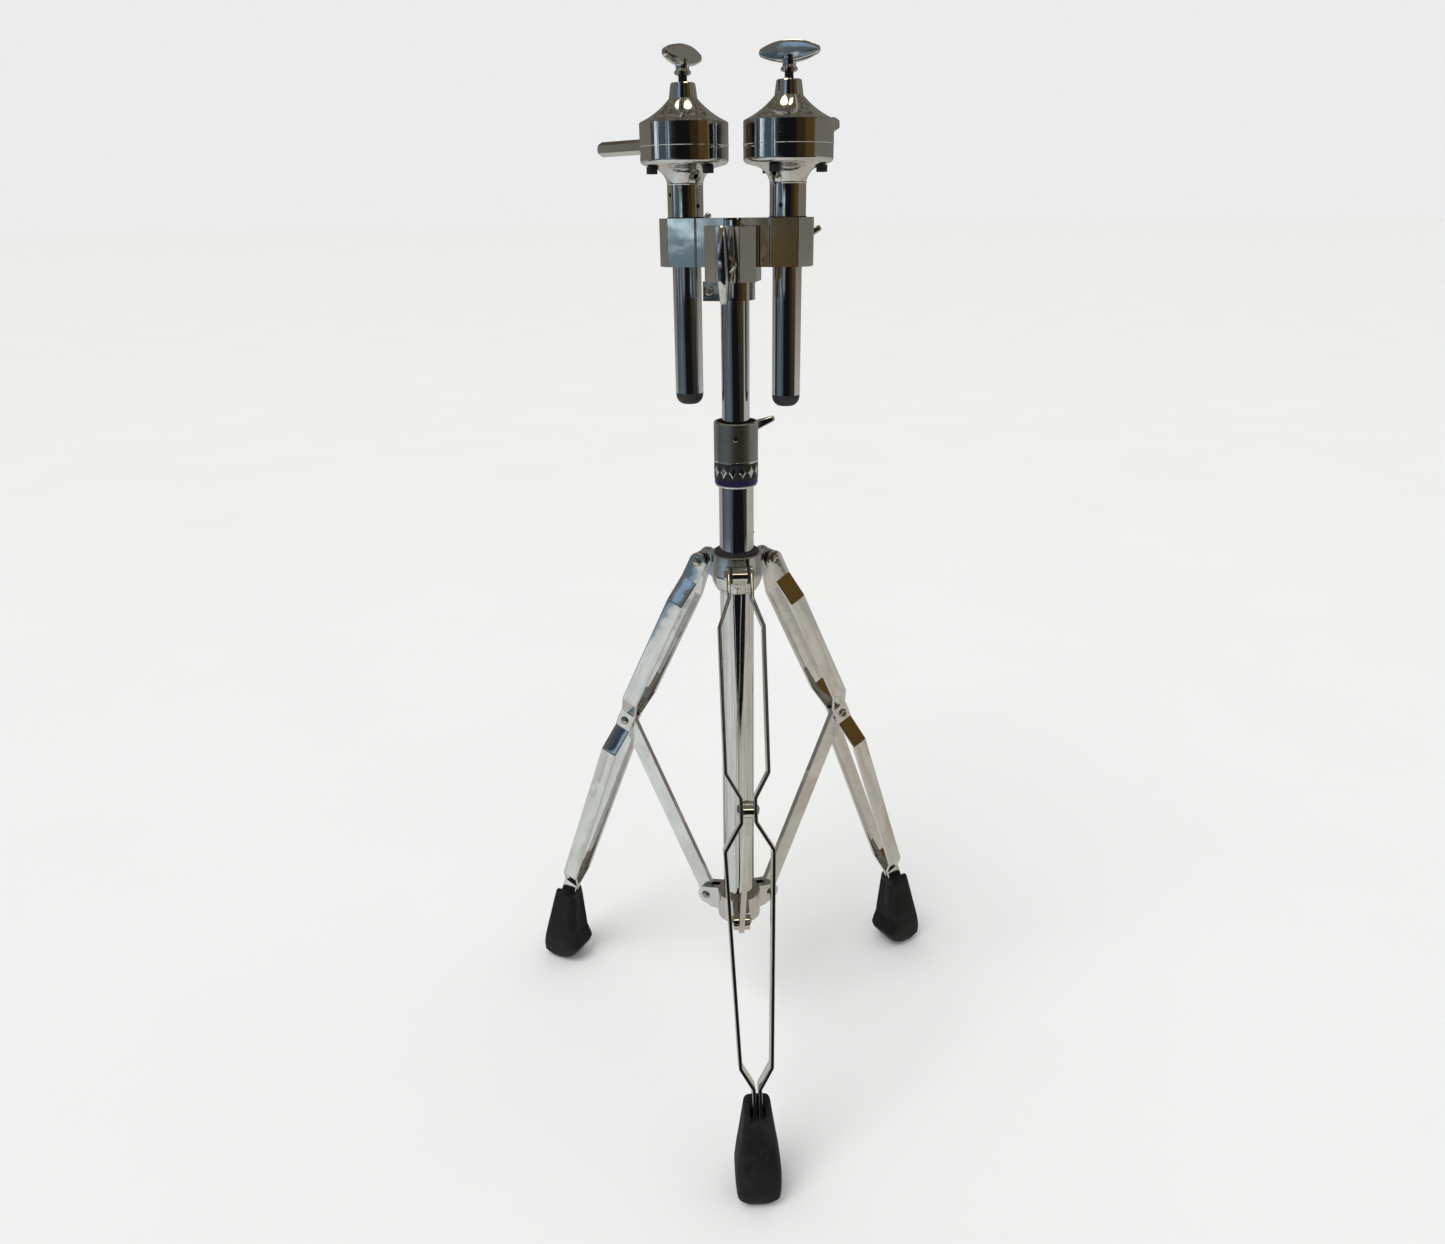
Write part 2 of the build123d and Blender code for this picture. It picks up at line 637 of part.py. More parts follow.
MEMORY_MID_Z = (MEMORY_TOP + MEMORY_BOTTOM) / 2
with BuildPart() as memory_collar:
    with BuildSketch(bracket_frame.offset(MEMORY_BOTTOM)):
        Circle(MEMORY_R)
        with Locations(((LUG_X[0] + LUG_X[1]) / 2, (LUG_Y[0] + LUG_Y[1]) / 2)):
            RectangleRounded(LUG_X[1] - LUG_X[0], LUG_Y[1] - LUG_Y[0], 1)
    extrude(amount=MEMORY_TOP - MEMORY_BOTTOM)
    with BuildSketch(bracket_frame.offset(MEMORY_BOTTOM - 1)):
        Circle(TUBE_R)
        with Locations((-20, -8.5)):
            Rectangle(20, 1.4)
    extrude(amount=20, mode=Mode.SUBTRACT)
    with BuildSketch(face_plane(BRACKET_FACING, -LUG_Y[0] - LUG_RECESS)):
        with Locations((LUG_MID_X, MEMORY_MID_Z)):
            RectangleRounded(7.4, 7.4, 1)
    extrude(amount=5, mode=Mode.SUBTRACT)
    with BuildSketch(face_plane(BRACKET_FACING)):
        with Locations((LUG_MID_X, MEMORY_MID_Z)):
            Circle(MEMORY_SCREW_R)
    extrude(amount=20, mode=Mode.SUBTRACT)
save(memory_collar, "memory_collar")

with BuildPart() as memory_screw:
    with BuildSketch(face_plane(BRACKET_FACING, 2)):
        with Locations((LUG_MID_X, MEMORY_MID_Z)):
            Circle(MEMORY_SCREW_R)
    extrude(amount=-LUG_Y[0] - LUG_RECESS - 1.5)
    with BuildSketch(face_plane(BRACKET_FACING, -LUG_Y[0] - LUG_RECESS)):
        with Locations((LUG_MID_X, MEMORY_MID_Z)):
            Circle(3.6)
    extrude(amount=3, taper=12)
save(memory_screw, "memory_screw")

# ---------------------------------------------------------------- bracket
SCREW_Z = (BRACKET_TOP + BRACKET_BOTTOM) / 2
BLOCK_SCREW_Z = 712.0
RECEIVER = [(-10.5, -18), (10.5, -18), (19, -8), (19, 8), (10.5, 17), (-10.5, 17), (-19, 8), (-19, -8)]
BLOCK = [(-8.9, -BLOCK_FRONT), (8.9, -BLOCK_FRONT), (19.5, -19), (19.5, 6), (-19.5, 6), (-19.5, -19)]
with BuildPart() as bracket:
    with BuildSketch(bracket_frame.offset(BRACKET_BOTTOM)):
        with Locations((-POST_SPREAD, POST_SETBACK), (POST_SPREAD, POST_SETBACK)):
            Polygon(*RECEIVER, align=None)
        with Locations((0, 4)):
            Rectangle(2 * POST_SPREAD, 26)
    extrude(amount=BRACKET_TOP - BRACKET_BOTTOM)
    with BuildSketch(bracket_frame.offset(BLOCK_BOTTOM)):
        Polygon(*BLOCK, align=None)
    extrude(amount=BLOCK_TOP - BLOCK_BOTTOM)
    upright = bracket.edges().filter_by(Axis.Z).filter_by(lambda edge: edge.length > 20)
    fillet(upright, 0.8)
    rear = face_plane(BRACKET_YAW + 90, POST_SETBACK + 14)
    for across in (-POST_SPREAD, POST_SPREAD):
        with BuildSketch(rear):
            with Locations((-across, SCREW_Z)):
                Circle(SCREW_BOSS_R)
        extrude(amount=10)
    with BuildSketch(bracket_frame.offset(BLOCK_BOTTOM - 1)):
        with Locations((-POST_SPREAD, POST_SETBACK), (0, 0), (POST_SPREAD, POST_SETBACK)):
            Circle(TUBE_R + RUN)
    extrude(amount=60, mode=Mode.SUBTRACT)
    for across in (-POST_SPREAD, POST_SPREAD):
        with BuildSketch(face_plane(BRACKET_YAW + 90, POST_SETBACK)):
            with Locations((-across, SCREW_Z)):
                Circle(STUD_R + RUN)
        extrude(amount=40, mode=Mode.SUBTRACT)
    with BuildSketch(face_plane(BRACKET_FACING)):
        with Locations((0, BLOCK_SCREW_Z)):
            Circle(STUD_R + RUN)
    extrude(amount=BLOCK_FRONT + 2, mode=Mode.SUBTRACT)
    with BuildSketch(face_plane(BRACKET_FACING, 7)):
        with Locations((23.5, 714.5)):
            Circle(1.3)
    extrude(amount=6, mode=Mode.SUBTRACT)
save(bracket, "bracket")

save(
    wing_screw(
        outward(BRACKET_FACING) * (TUBE_R + 2 * RUN) + Vector(0, 0, BLOCK_SCREW_Z),
        outward(BRACKET_FACING),
        leaning(BRACKET_FACING, 88),
        21.5,
        LONG_WING,
    ),
    "bracket_wing_screw",
)
for side_name, across, lean in (("left", -POST_SPREAD, 62), ("right", POST_SPREAD, 22)):
    save(
        wing_screw(
            from_bracket(across, POST_SETBACK + TUBE_R + 2 * RUN, SCREW_Z),
            outward(BRACKET_YAW + 90),
            leaning(BRACKET_YAW + 90, lean),
            16,
            SHORT_WING,
        ),
        f"{side_name}_post_wing_screw",
    )


# ---------------------------------------------------------------- ball heads
def head_frame(side_name):
    """Where a head stands and which way its rod points."""
    across, rod_angle, rod_tilt, wing_angle = HEADS[side_name]
    foot_point = from_bracket(across, POST_SETBACK)
    return (foot_point.X, foot_point.Y), rod_angle, rod_tilt, wing_angle


def rod_window(centre, rod_angle):
    """The space cut from the head's wall where the rod comes out."""
    with BuildPart() as window:
        with BuildSketch(screw_plane(centre, rod_angle, WINDOW_BOTTOM)):
            with Locations((HEAD_R / 2 + 12, 0)):
                Rectangle(HEAD_R, 2 * WINDOW_HALF)
        extrude(amount=WINDOW_TOP - WINDOW_BOTTOM)
    return window.part


def screw_plane(centre, rod_angle, z):
    """Level plane on the head's axis, x along the rod."""
    return Plane(origin=(*centre, z), x_dir=outward(rod_angle), z_dir=(0, 0, 1))


def screw_hole_plane(centre, angle, z):
    """Plane on the head's axis that looks out along a set screw."""
    return Plane(origin=(*centre, z), x_dir=(0, 0, 1), z_dir=outward(angle))


def ball_cup(centre, rod_angle, window):
    """Lower housing with the sleeve that takes the down tube."""
    with BuildPart() as cup:
        with BuildSketch(side_plane(0, (*centre, 0))):
            with BuildLine():
                Line((0, WASHER_TOP), (SLEEVE_R, WASHER_TOP))
                Line((SLEEVE_R, WASHER_TOP), (SLEEVE_R, SLEEVE_TOP - 1.2))
                Line((SLEEVE_R, SLEEVE_TOP - 1.2), (SLEEVE_R + 0.4, SLEEVE_TOP - 0.6))
                Line((SLEEVE_R + 0.4, SLEEVE_TOP - 0.6), (SLEEVE_R, SLEEVE_TOP))
                ThreePointArc((SLEEVE_R, SLEEVE_TOP), (16.6, 774.2), (24, 778.8))
                Line((24, 778.8), (30, 780.4))
                ThreePointArc((30, 780.4), (32.2, 781.7), (HEAD_R, 784))
                Line((HEAD_R, 784), (HEAD_R, SEAM_Z - 1))
                Line((HEAD_R, SEAM_Z - 1), (HEAD_R + 0.35, SEAM_Z - 0.6))
                Line((HEAD_R + 0.35, SEAM_Z - 0.6), (HEAD_R + 0.35, SEAM_Z))
                Line((HEAD_R + 0.35, SEAM_Z), (HEAD_INNER_R, SEAM_Z))
                Line((HEAD_INNER_R, SEAM_Z), (HEAD_INNER_R, CUP_FLOOR))
                Line((HEAD_INNER_R, CUP_FLOOR), (0, CUP_FLOOR))
                Line((0, CUP_FLOOR), (0, WASHER_TOP))
            make_face()
        revolve(axis=Axis((*centre, 0), (0, 0, 1)))
        with BuildSketch(screw_plane(centre, rod_angle, WASHER_TOP - 1)):
            Circle(TUBE_R)
        extrude(amount=POST_TOP - WASHER_TOP + 1, mode=Mode.SUBTRACT)
        with BuildSketch(screw_plane(centre, rod_angle, SEAT_FLOOR)):
            Circle(SEAT_R + RUN)
        extrude(amount=5, mode=Mode.SUBTRACT)
        with BuildSketch(screw_plane(centre, rod_angle, SLEEVE_TOP)):
            with PolarLocations(CAP_SCREW_CIRCLE, 3, start_angle=60):
                Circle(CAP_SCREW_R + 0.2)
        extrude(amount=20, mode=Mode.SUBTRACT)
        with BuildSketch(screw_plane(centre, rod_angle, SLEEVE_TOP)):
            with PolarLocations(CAP_SCREW_CIRCLE, 3, start_angle=60):
                Circle(CAP_SCREW_HEAD_R + 0.6)
        extrude(amount=CAP_SCREW_FACE - SLEEVE_TOP, mode=Mode.SUBTRACT)
        for turn, z in SET_SCREWS:
            with BuildSketch(screw_hole_plane(centre, rod_angle + turn, z)):
                Circle(SET_SCREW_R)
            extrude(amount=20, mode=Mode.SUBTRACT)
        add(window, mode=Mode.SUBTRACT)
    return cup


def ball_cap(centre, rod_angle, window):
    """Upper housing: a drum with a hollow-sided cone and a threaded neck."""
    with BuildPart() as cap:
        with BuildSketch(side_plane(0, (*centre, 0))):
            with BuildLine():
                Line((HEAD_INNER_R, SEAM_Z), (HEAD_R, SEAM_Z))
                Line((HEAD_R, SEAM_Z), (HEAD_R, SHOULDER_Z - 0.8))
                Line((HEAD_R, SHOULDER_Z - 0.8), (HEAD_R - 0.7, SHOULDER_Z))
                ThreePointArc((HEAD_R - 0.7, SHOULDER_Z), (20.6, 816.2), (10.5, NECK_BOTTOM))
                Line((10.5, NECK_BOTTOM), (9.2, NECK_TOP - 0.8))
                Line((9.2, NECK_TOP - 0.8), (8.4, NECK_TOP))
                Line((8.4, NECK_TOP), (STUD_R + RUN, NECK_TOP))
                Line((STUD_R + RUN, NECK_TOP), (STUD_R + RUN, 820))
                Line((STUD_R + RUN, 820), (11, 817))
                Line((11, 817), (HEAD_INNER_R, SHOULDER_Z - 4))
                Line((HEAD_INNER_R, SHOULDER_Z - 4), (HEAD_INNER_R, SEAM_Z))
            make_face()
        revolve(axis=Axis((*centre, 0), (0, 0, 1)))
        with BuildSketch(screw_plane(centre, rod_angle, CUP_FLOOR)):
            with PolarLocations(CAP_SCREW_CIRCLE, 3, start_angle=60):
                Circle(4.4)
        extrude(amount=SHOULDER_Z - CUP_FLOOR - 1)
        with BuildSketch(screw_plane(centre, rod_angle, CUP_FLOOR - 1)):
            with PolarLocations(CAP_SCREW_CIRCLE, 3, start_angle=60):
                Circle(CAP_SCREW_R)
        extrude(amount=CAP_SCREW_DEPTH + 1, mode=Mode.SUBTRACT)
        add(window, mode=Mode.SUBTRACT)
    return cap


def cap_screws(centre, rod_angle):
    """Three socket screws that hold the cap from below."""
    with BuildPart() as screws:
        with BuildSketch(screw_plane(centre, rod_angle, CAP_SCREW_FACE - CAP_SCREW_HEAD)):
            with PolarLocations(CAP_SCREW_CIRCLE, 3, start_angle=60):
                Circle(CAP_SCREW_HEAD_R)
        extrude(amount=CAP_SCREW_HEAD)
        with BuildSketch(screw_plane(centre, rod_angle, CAP_SCREW_FACE - CAP_SCREW_HEAD)):
            with PolarLocations(CAP_SCREW_CIRCLE, 3, start_angle=60):
                RegularPolygon(2.3, 6)
        extrude(amount=2.5, mode=Mode.SUBTRACT)
        with BuildSketch(screw_plane(centre, rod_angle, CAP_SCREW_FACE - 1)):
            with PolarLocations(CAP_SCREW_CIRCLE, 3, start_angle=60):
                Circle(CAP_SCREW_R)
        extrude(amount=CUP_FLOOR + CAP_SCREW_DEPTH - CAP_SCREW_FACE + 1)
    return screws


def set_screws(centre, rod_angle):
    """Two grub screws that pin the sleeve to the down tube."""
    with BuildPart() as screws:
        for turn, z in SET_SCREWS:
            with BuildSketch(screw_hole_plane(centre, rod_angle + turn, z).offset(TUBE_R)):
                Circle(SET_SCREW_R)
                RegularPolygon(0.8, 6, mode=Mode.SUBTRACT)
            extrude(amount=1.6)
    return screws


def down_tube(centre):
    """Plain tube that slides in the bracket's receiver."""
    with BuildPart() as tube:
        with BuildSketch(Plane(origin=(*centre, POST_BOTTOM), z_dir=(0, 0, 1))):
            Circle(TUBE_R)
            Circle(TUBE_R - TUBE_WALL, mode=Mode.SUBTRACT)
        extrude(amount=POST_TOP - POST_BOTTOM)
    return tube


def tube_tip(centre):
    """Rounded plug with a spigot pushed into the end of a down tube."""
    with BuildPart() as tip:
        with BuildSketch(side_plane(0, (*centre, 0))):
            with BuildLine():
                Line((0, TIP_BOTTOM), (6.4, TIP_BOTTOM))
                ThreePointArc((6.4, TIP_BOTTOM), (9.3, TIP_BOTTOM + 2.4), (TIP_R, POST_BOTTOM - 1.2))
                Line((TIP_R, POST_BOTTOM - 1.2), (TIP_R, POST_BOTTOM))
                Line((TIP_R, POST_BOTTOM), (TUBE_R - TUBE_WALL, POST_BOTTOM))
                Line((TUBE_R - TUBE_WALL, POST_BOTTOM), (TUBE_R - TUBE_WALL, POST_BOTTOM + TIP_SPIGOT))
                Line((TUBE_R - TUBE_WALL, POST_BOTTOM + TIP_SPIGOT), (0, POST_BOTTOM + TIP_SPIGOT))
                Line((0, POST_BOTTOM + TIP_SPIGOT), (0, TIP_BOTTOM))
            make_face()
        revolve(axis=Axis((*centre, 0), (0, 0, 1)))
    return tip


for side_name in HEADS:
    centre, rod_angle, rod_tilt, wing_angle = head_frame(side_name)
    washer = tube_section(SLEEVE_R + 0.5, TUBE_R + RUN, BRACKET_TOP + RUN, WASHER_TOP - RUN)
    save(turned(washer, centre=centre), f"{side_name}_post_washer")
    save(down_tube(centre), f"{side_name}_down_tube")
    save(tube_tip(centre), f"{side_name}_tube_tip")
    window = rod_window(centre, rod_angle)
    save(ball_cup(centre, rod_angle, window), f"{side_name}_ball_cup")
    save(ball_cap(centre, rod_angle, window), f"{side_name}_ball_cap")
    save(cap_screws(centre, rod_angle), f"{side_name}_cap_screws")
    save(set_screws(centre, rod_angle), f"{side_name}_set_screws")

    ball_centre = (*centre, BALL_Z)
    with BuildPart() as ball_seat:
        with BuildSketch(screw_plane(centre, rod_angle, SEAT_FLOOR + RUN)):
            Circle(SEAT_R)
            Circle(4, mode=Mode.SUBTRACT)
        extrude(amount=6.2)
        with Locations(ball_centre):
            Sphere(BALL_R + RUN, mode=Mode.SUBTRACT)
    save(ball_seat, f"{side_name}_ball_seat")

    rod_dir = outward(rod_angle) * cos(radians(rod_tilt)) + Vector(0, 0, sin(radians(rod_tilt)))
    rod_axis = Plane(origin=ball_centre, x_dir=outward(rod_angle + 90), z_dir=rod_dir)
    with BuildPart() as hex_rod:
        with BuildSketch(rod_axis.offset(-ROD_SINK)):
            RegularPolygon(HEX_ACROSS / 2, 6, major_radius=False, rotation=90)
        extrude(amount=ROD_REACH + ROD_SINK)
        with BuildSketch(Plane(origin=ball_centre, x_dir=rod_dir, z_dir=outward(rod_angle + 90))):
            with BuildLine():
                Line((-ROD_SINK, 0), (-ROD_SINK, 7))
                Line((-ROD_SINK, 7), (ROD_REACH - 7, 7))
                ThreePointArc((ROD_REACH - 7, 7), (ROD_REACH - 1.6, 4.6), (ROD_REACH, 0))
                Line((ROD_REACH, 0), (-ROD_SINK, 0))
            make_face()
        revolve(axis=Axis(ball_centre, rod_dir), mode=Mode.INTERSECT)
    save(hex_rod, f"{side_name}_hex_rod")

    with BuildPart() as ball:
        with Locations(ball_centre):
            Sphere(BALL_R)
        with BuildSketch(rod_axis.offset(-ROD_SINK)):
            RegularPolygon(HEX_ACROSS / 2, 6, major_radius=False, rotation=90)
        extrude(amount=ROD_SINK + 2 * BALL_R, mode=Mode.SUBTRACT)
    save(ball, f"{side_name}_ball")

    stud_base = BALL_Z + 10.8
    save(
        wing_screw(
            (*centre, stud_base),
            (0, 0, 1),
            outward(wing_angle),
            HEAD_HUB_Z - stud_base,
            SHORT_WING,
            pad={"radius": 8.5, "height": 6.5, "ball": ball_centre},
        ),
        f"{side_name}_head_wing_screw",
    )
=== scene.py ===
import json
from math import cos, pi, radians, sin

import bmesh
import bpy
from mathutils import Matrix, Vector

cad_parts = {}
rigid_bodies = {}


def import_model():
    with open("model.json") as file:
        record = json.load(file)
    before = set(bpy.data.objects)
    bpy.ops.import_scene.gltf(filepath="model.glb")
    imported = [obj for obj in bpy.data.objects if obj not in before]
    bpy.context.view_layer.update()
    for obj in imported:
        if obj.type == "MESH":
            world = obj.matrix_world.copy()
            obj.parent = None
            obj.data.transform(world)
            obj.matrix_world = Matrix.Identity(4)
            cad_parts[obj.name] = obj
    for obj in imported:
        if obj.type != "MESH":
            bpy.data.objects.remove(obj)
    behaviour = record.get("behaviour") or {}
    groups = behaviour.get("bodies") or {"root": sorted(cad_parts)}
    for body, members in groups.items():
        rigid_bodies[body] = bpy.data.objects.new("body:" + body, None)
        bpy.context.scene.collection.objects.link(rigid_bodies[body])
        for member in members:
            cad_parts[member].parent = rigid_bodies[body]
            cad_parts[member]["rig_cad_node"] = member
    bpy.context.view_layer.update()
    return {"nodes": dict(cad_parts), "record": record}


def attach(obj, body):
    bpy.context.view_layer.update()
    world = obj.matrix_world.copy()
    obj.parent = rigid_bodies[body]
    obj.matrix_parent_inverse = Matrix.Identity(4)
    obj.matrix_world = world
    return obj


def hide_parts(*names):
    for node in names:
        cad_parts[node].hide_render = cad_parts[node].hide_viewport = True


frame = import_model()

MM = 0.001
SCENE = bpy.context.scene
NODES = frame["nodes"]


def outward(angle):
    """Level unit vector towards a compass angle in degrees."""
    return Vector((cos(radians(angle)), sin(radians(angle)), 0))


# ---------------------------------------------------------------- camera
FOCAL_PIXELS = 1052.75  # of a frame 1445 pixels wide
FRAME_PIXELS = 1445
CAMERA_DISTANCE = 842.8 * MM
CAMERA_HEIGHT = 750.8 * MM
CAMERA_AZIMUTH = radians(3.81)
CAMERA_HEADING = radians(2.95)
CAMERA_PITCH = radians(21.49)
CAMERA_ROLL = radians(-0.71)


def make_camera():
    data = bpy.data.cameras.new("camera")
    data.sensor_width = 36
    data.lens = FOCAL_PIXELS * data.sensor_width / FRAME_PIXELS
    camera = bpy.data.objects.new("camera", data)
    SCENE.collection.objects.link(camera)
    forward = Vector(
        (
            sin(CAMERA_HEADING) * cos(CAMERA_PITCH),
            cos(CAMERA_HEADING) * cos(CAMERA_PITCH),
            -sin(CAMERA_PITCH),
        )
    )
    level = Vector((cos(CAMERA_HEADING), -sin(CAMERA_HEADING), 0))
    upright = level.cross(forward)
    right = level * cos(CAMERA_ROLL) + upright * sin(CAMERA_ROLL)
    up = upright * cos(CAMERA_ROLL) - level * sin(CAMERA_ROLL)
    place = Vector(
        (
            -CAMERA_DISTANCE * sin(CAMERA_AZIMUTH),
            -CAMERA_DISTANCE * cos(CAMERA_AZIMUTH),
            CAMERA_HEIGHT,
        )
    )
    matrix = Matrix((right, up, -forward)).transposed().to_4x4()
    matrix.translation = place
    camera.matrix_world = matrix
    SCENE.camera = camera


# ---------------------------------------------------------------- node helpers
class Graph:
    """Short calls for building a node tree."""

    def __init__(self, tree):
        self.tree = tree
        self.tree.nodes.clear()

    def add(self, kind, inputs=None, **settings):
        made = self.tree.nodes.new(kind)
        for key, value in settings.items():
            setattr(made, key, value)
        for key, value in (inputs or {}).items():
            self.put(made.inputs[key], value)
        return made

    def put(self, socket, value):
        if isinstance(value, bpy.types.NodeSocket):
            self.tree.links.new(value, socket)
        else:
            socket.default_value = value

    def maths(self, operation, a, b=0.0):
        made = self.add("ShaderNodeMath", operation=operation)
        self.put(made.inputs[0], a)
        self.put(made.inputs[1], b)
        return made.outputs[0]

    def noise(self, vector, scale, detail=2.0, rough=0.5):
        inputs = {"Vector": vector, "Scale": scale, "Detail": detail, "Roughness": rough}
        return self.add("ShaderNodeTexNoise", inputs).outputs["Fac"]

    def ramp(self, factor, stops):
        """Colour ramp from (position, colour) stops; a colour is a grey value or three numbers."""
        made = self.add("ShaderNodeValToRGB", {"Fac": factor})
        band = made.color_ramp
        while len(band.elements) > 1:
            band.elements.remove(band.elements[-1])
        for index, (position, colour) in enumerate(stops):
            stop = band.elements[0] if index == 0 else band.elements.new(position)
            stop.position = position
            stop.color = (*colour, 1) if hasattr(colour, "__len__") else (colour, colour, colour, 1)
        return made.outputs["Color"]

    def span(self, value, low, high, to_low=0.0, to_high=1.0):
        """Straight-line change from to_low to to_high as value goes from low to high, level outside."""
        made = self.add("ShaderNodeMapRange", clamp=True)
        for index, number in enumerate((value, low, high, to_low, to_high)):
            self.put(made.inputs[index], number)
        return made.outputs[0]

    def mix(self, factor, a, b):
        made = self.add("ShaderNodeMix", data_type="RGBA")
        self.put(made.inputs[0], factor)
        self.put(made.inputs[6], a)
        self.put(made.inputs[7], b)
        return made.outputs[2]

    def stretched(self, vector, scale):
        made = self.add("ShaderNodeVectorMath", {0: vector, 1: scale}, operation="MULTIPLY")
        return made.outputs[0]

    def bump(self, height, distance, normal=None):
        made = self.add("ShaderNodeBump", {"Height": height, "Distance": distance, "Strength": 1.0})
        if normal is not None:
            self.put(made.inputs["Normal"], normal)
        return made.outputs["Normal"]


def material(name, build):
    """New material; build(graph, object coordinates) returns the Principled inputs."""
    made = bpy.data.materials.new(name)
    made.use_nodes = True
    graph = Graph(made.node_tree)
    place = graph.add("ShaderNodeTexCoord").outputs["Object"]
    shader = graph.add("ShaderNodeBsdfPrincipled", build(graph, place))
    output = graph.add("ShaderNodeOutputMaterial")
    graph.tree.links.new(shader.outputs[0], output.inputs["Surface"])
    return made


# ---------------------------------------------------------------- materials
def chrome_finish(colour, polish, haze, ripple, ripple_size):
    """Plated metal: haze patches in the gloss, a faint ripple, fine polishing marks and small pits."""

    def build(g, place):
        patches = g.noise(place, 38.0, 4.0, 0.6)
        specks = g.noise(place, 900.0, 1.0)
        pits = g.span(specks, 0.72, 0.78)
        shade = g.mix(g.span(patches, 0.35, 0.75), (*colour, 1), (*[c * 0.9 for c in colour], 1))
        shade = g.mix(g.maths("MULTIPLY", pits, 0.35), shade, (0.25, 0.22, 0.18, 1))
        rough = g.span(patches, 0.4, 0.72, polish, polish + haze)
        rough = g.maths("ADD", rough, g.maths("MULTIPLY", pits, 0.2))
        waves = g.noise(place, 1 / ripple_size, 1.5)
        marks = g.noise(g.stretched(place, (1.0, 1.0, 0.06)), 2600.0, 2.0)
        normal = g.bump(waves, ripple)
        normal = g.bump(marks, 0.0000015, normal)
        return {"Base Color": shade, "Metallic": 1.0, "Roughness": rough, "Normal": normal}

    return build


BOSS_FOOT, BAND_TOP, BOSS_TOP = 540.0, 560.0, 592.0


def satin_finish(g, place):
    """Satin plate with fine turning lines round the mast, and bright rims at the boss's edges."""
    lines = g.noise(g.stretched(place, (0.02, 0.02, 1.0)), 5200.0, 2.0)
    cloud = g.noise(place, 60.0, 3.0)
    shade = g.mix(cloud, (0.3, 0.3, 0.295, 1), (0.43, 0.42, 0.41, 1))
    rough = g.span(lines, 0.3, 0.7, 0.26, 0.38)
    height = g.add("ShaderNodeSeparateXYZ", {"Vector": place}).outputs[2]
    rims = g.maths("LESS_THAN", height, (BOSS_FOOT + 0.9) * MM)
    for low, high in ((BAND_TOP, BAND_TOP + 1.6), (BOSS_TOP - 1.1, BOSS_TOP + 1)):
        above = g.maths("GREATER_THAN", height, low * MM)
        below = g.maths("LESS_THAN", height, high * MM)
        rims = g.maths("MAXIMUM", rims, g.maths("MULTIPLY", above, below))
    shade = g.mix(rims, shade, (0.9, 0.9, 0.89, 1))
    rough = g.maths("MULTIPLY", rough, g.maths("SUBTRACT", 1.0, g.maths("MULTIPLY", rims, 0.6)))
    normal = g.bump(lines, 0.000004)
    return {"Base Color": shade, "Metallic": 1.0, "Roughness": rough, "Normal": normal}


def rubber_finish(g, place):
    """Matt moulded rubber with a fine grain, a little dust and rubbed patches."""
    grain = g.noise(place, 2400.0, 3.0, 0.6)
    dust = g.noise(place, 45.0, 5.0, 0.65)
    fine_dust = g.noise(place, 420.0, 3.0, 0.7)
    shade = g.mix(g.span(dust, 0.48, 0.72), (0.006, 0.006, 0.007, 1), (0.018, 0.018, 0.019, 1))
    shade = g.mix(g.span(fine_dust, 0.62, 0.75, 0.0, 0.3), shade, (0.07, 0.07, 0.066, 1))
    rough = g.span(dust, 0.35, 0.7, 0.5, 0.78)
    normal = g.bump(grain, 0.00007)
    normal = g.bump(dust, 0.0002, normal)
    return {"Base Color": shade, "Roughness": rough, "Normal": normal, "Specular IOR Level": 0.4}


def plastic_finish(colour, polish):
    """Moulded plastic with a faint mottle and scuffs."""

    def build(g, place):
        mottle = g.noise(place, 160.0, 4.0, 0.6)
        scuffs = g.noise(g.stretched(place, (1.0, 1.0, 0.3)), 1500.0, 2.0)
        shade = g.mix(mottle, (*colour, 1), (*[min(1, c * 1.5 + 0.004) for c in colour], 1))
        rough = g.span(mottle, 0.35, 0.7, polish, polish + 0.16)
        normal = g.bump(scuffs, 0.00001)
        return {"Base Color": shade, "Roughness": rough, "Normal": normal, "Specular IOR Level": 0.3}

    return build


def rivet_finish(g, place):
    """Plated rivet steel, rubbed bright on one part and tarnished on another."""
    tarnish = g.noise(place, 260.0, 4.0, 0.6)
    shade = g.mix(g.span(tarnish, 0.4, 0.65), (0.72, 0.7, 0.64, 1), (0.4, 0.35, 0.26, 1))
    rough = g.span(tarnish, 0.35, 0.7, 0.12, 0.34)
    normal = g.bump(g.noise(place, 900.0, 2.0), 0.00002)
    return {"Base Color": shade, "Metallic": 1.0, "Roughness": rough, "Normal": normal}


FINISHES = {
    "bright_chrome": chrome_finish((0.83, 0.835, 0.84), 0.035, 0.05, 0.00004, 0.045),
    "cast_chrome": chrome_finish((0.79, 0.79, 0.79), 0.05, 0.09, 0.00008, 0.014),
    "satin_metal": satin_finish,
    "leg_chrome": chrome_finish((0.88, 0.88, 0.875), 0.05, 0.08, 0.0003, 0.02),
    "rivet_steel": rivet_finish,
    "foot_rubber": rubber_finish,
    "band_black": plastic_finish((0.011, 0.011, 0.013), 0.3),
    "trim_violet": plastic_finish((0.011, 0.007, 0.035), 0.12),
    "bushing_black": plastic_finish((0.014, 0.014, 0.016), 0.35),
    "tip_black": plastic_finish((0.022, 0.022, 0.023), 0.42),
    "seat_nylon": plastic_finish((0.55, 0.53, 0.45), 0.4),
    "screw_black": plastic_finish((0.012, 0.012, 0.013), 0.28),
}
MATERIALS = {name: material(name, build) for name, build in FINISHES.items()}
SLOT_OF = {row["node"]: row["material_slot"] for row in frame["record"]["subparts"]}


def dress(piece, slot):
    """Gives a piece one of the finishes above."""
    piece.data.materials.clear()
    piece.data.materials.append(MATERIALS[slot])


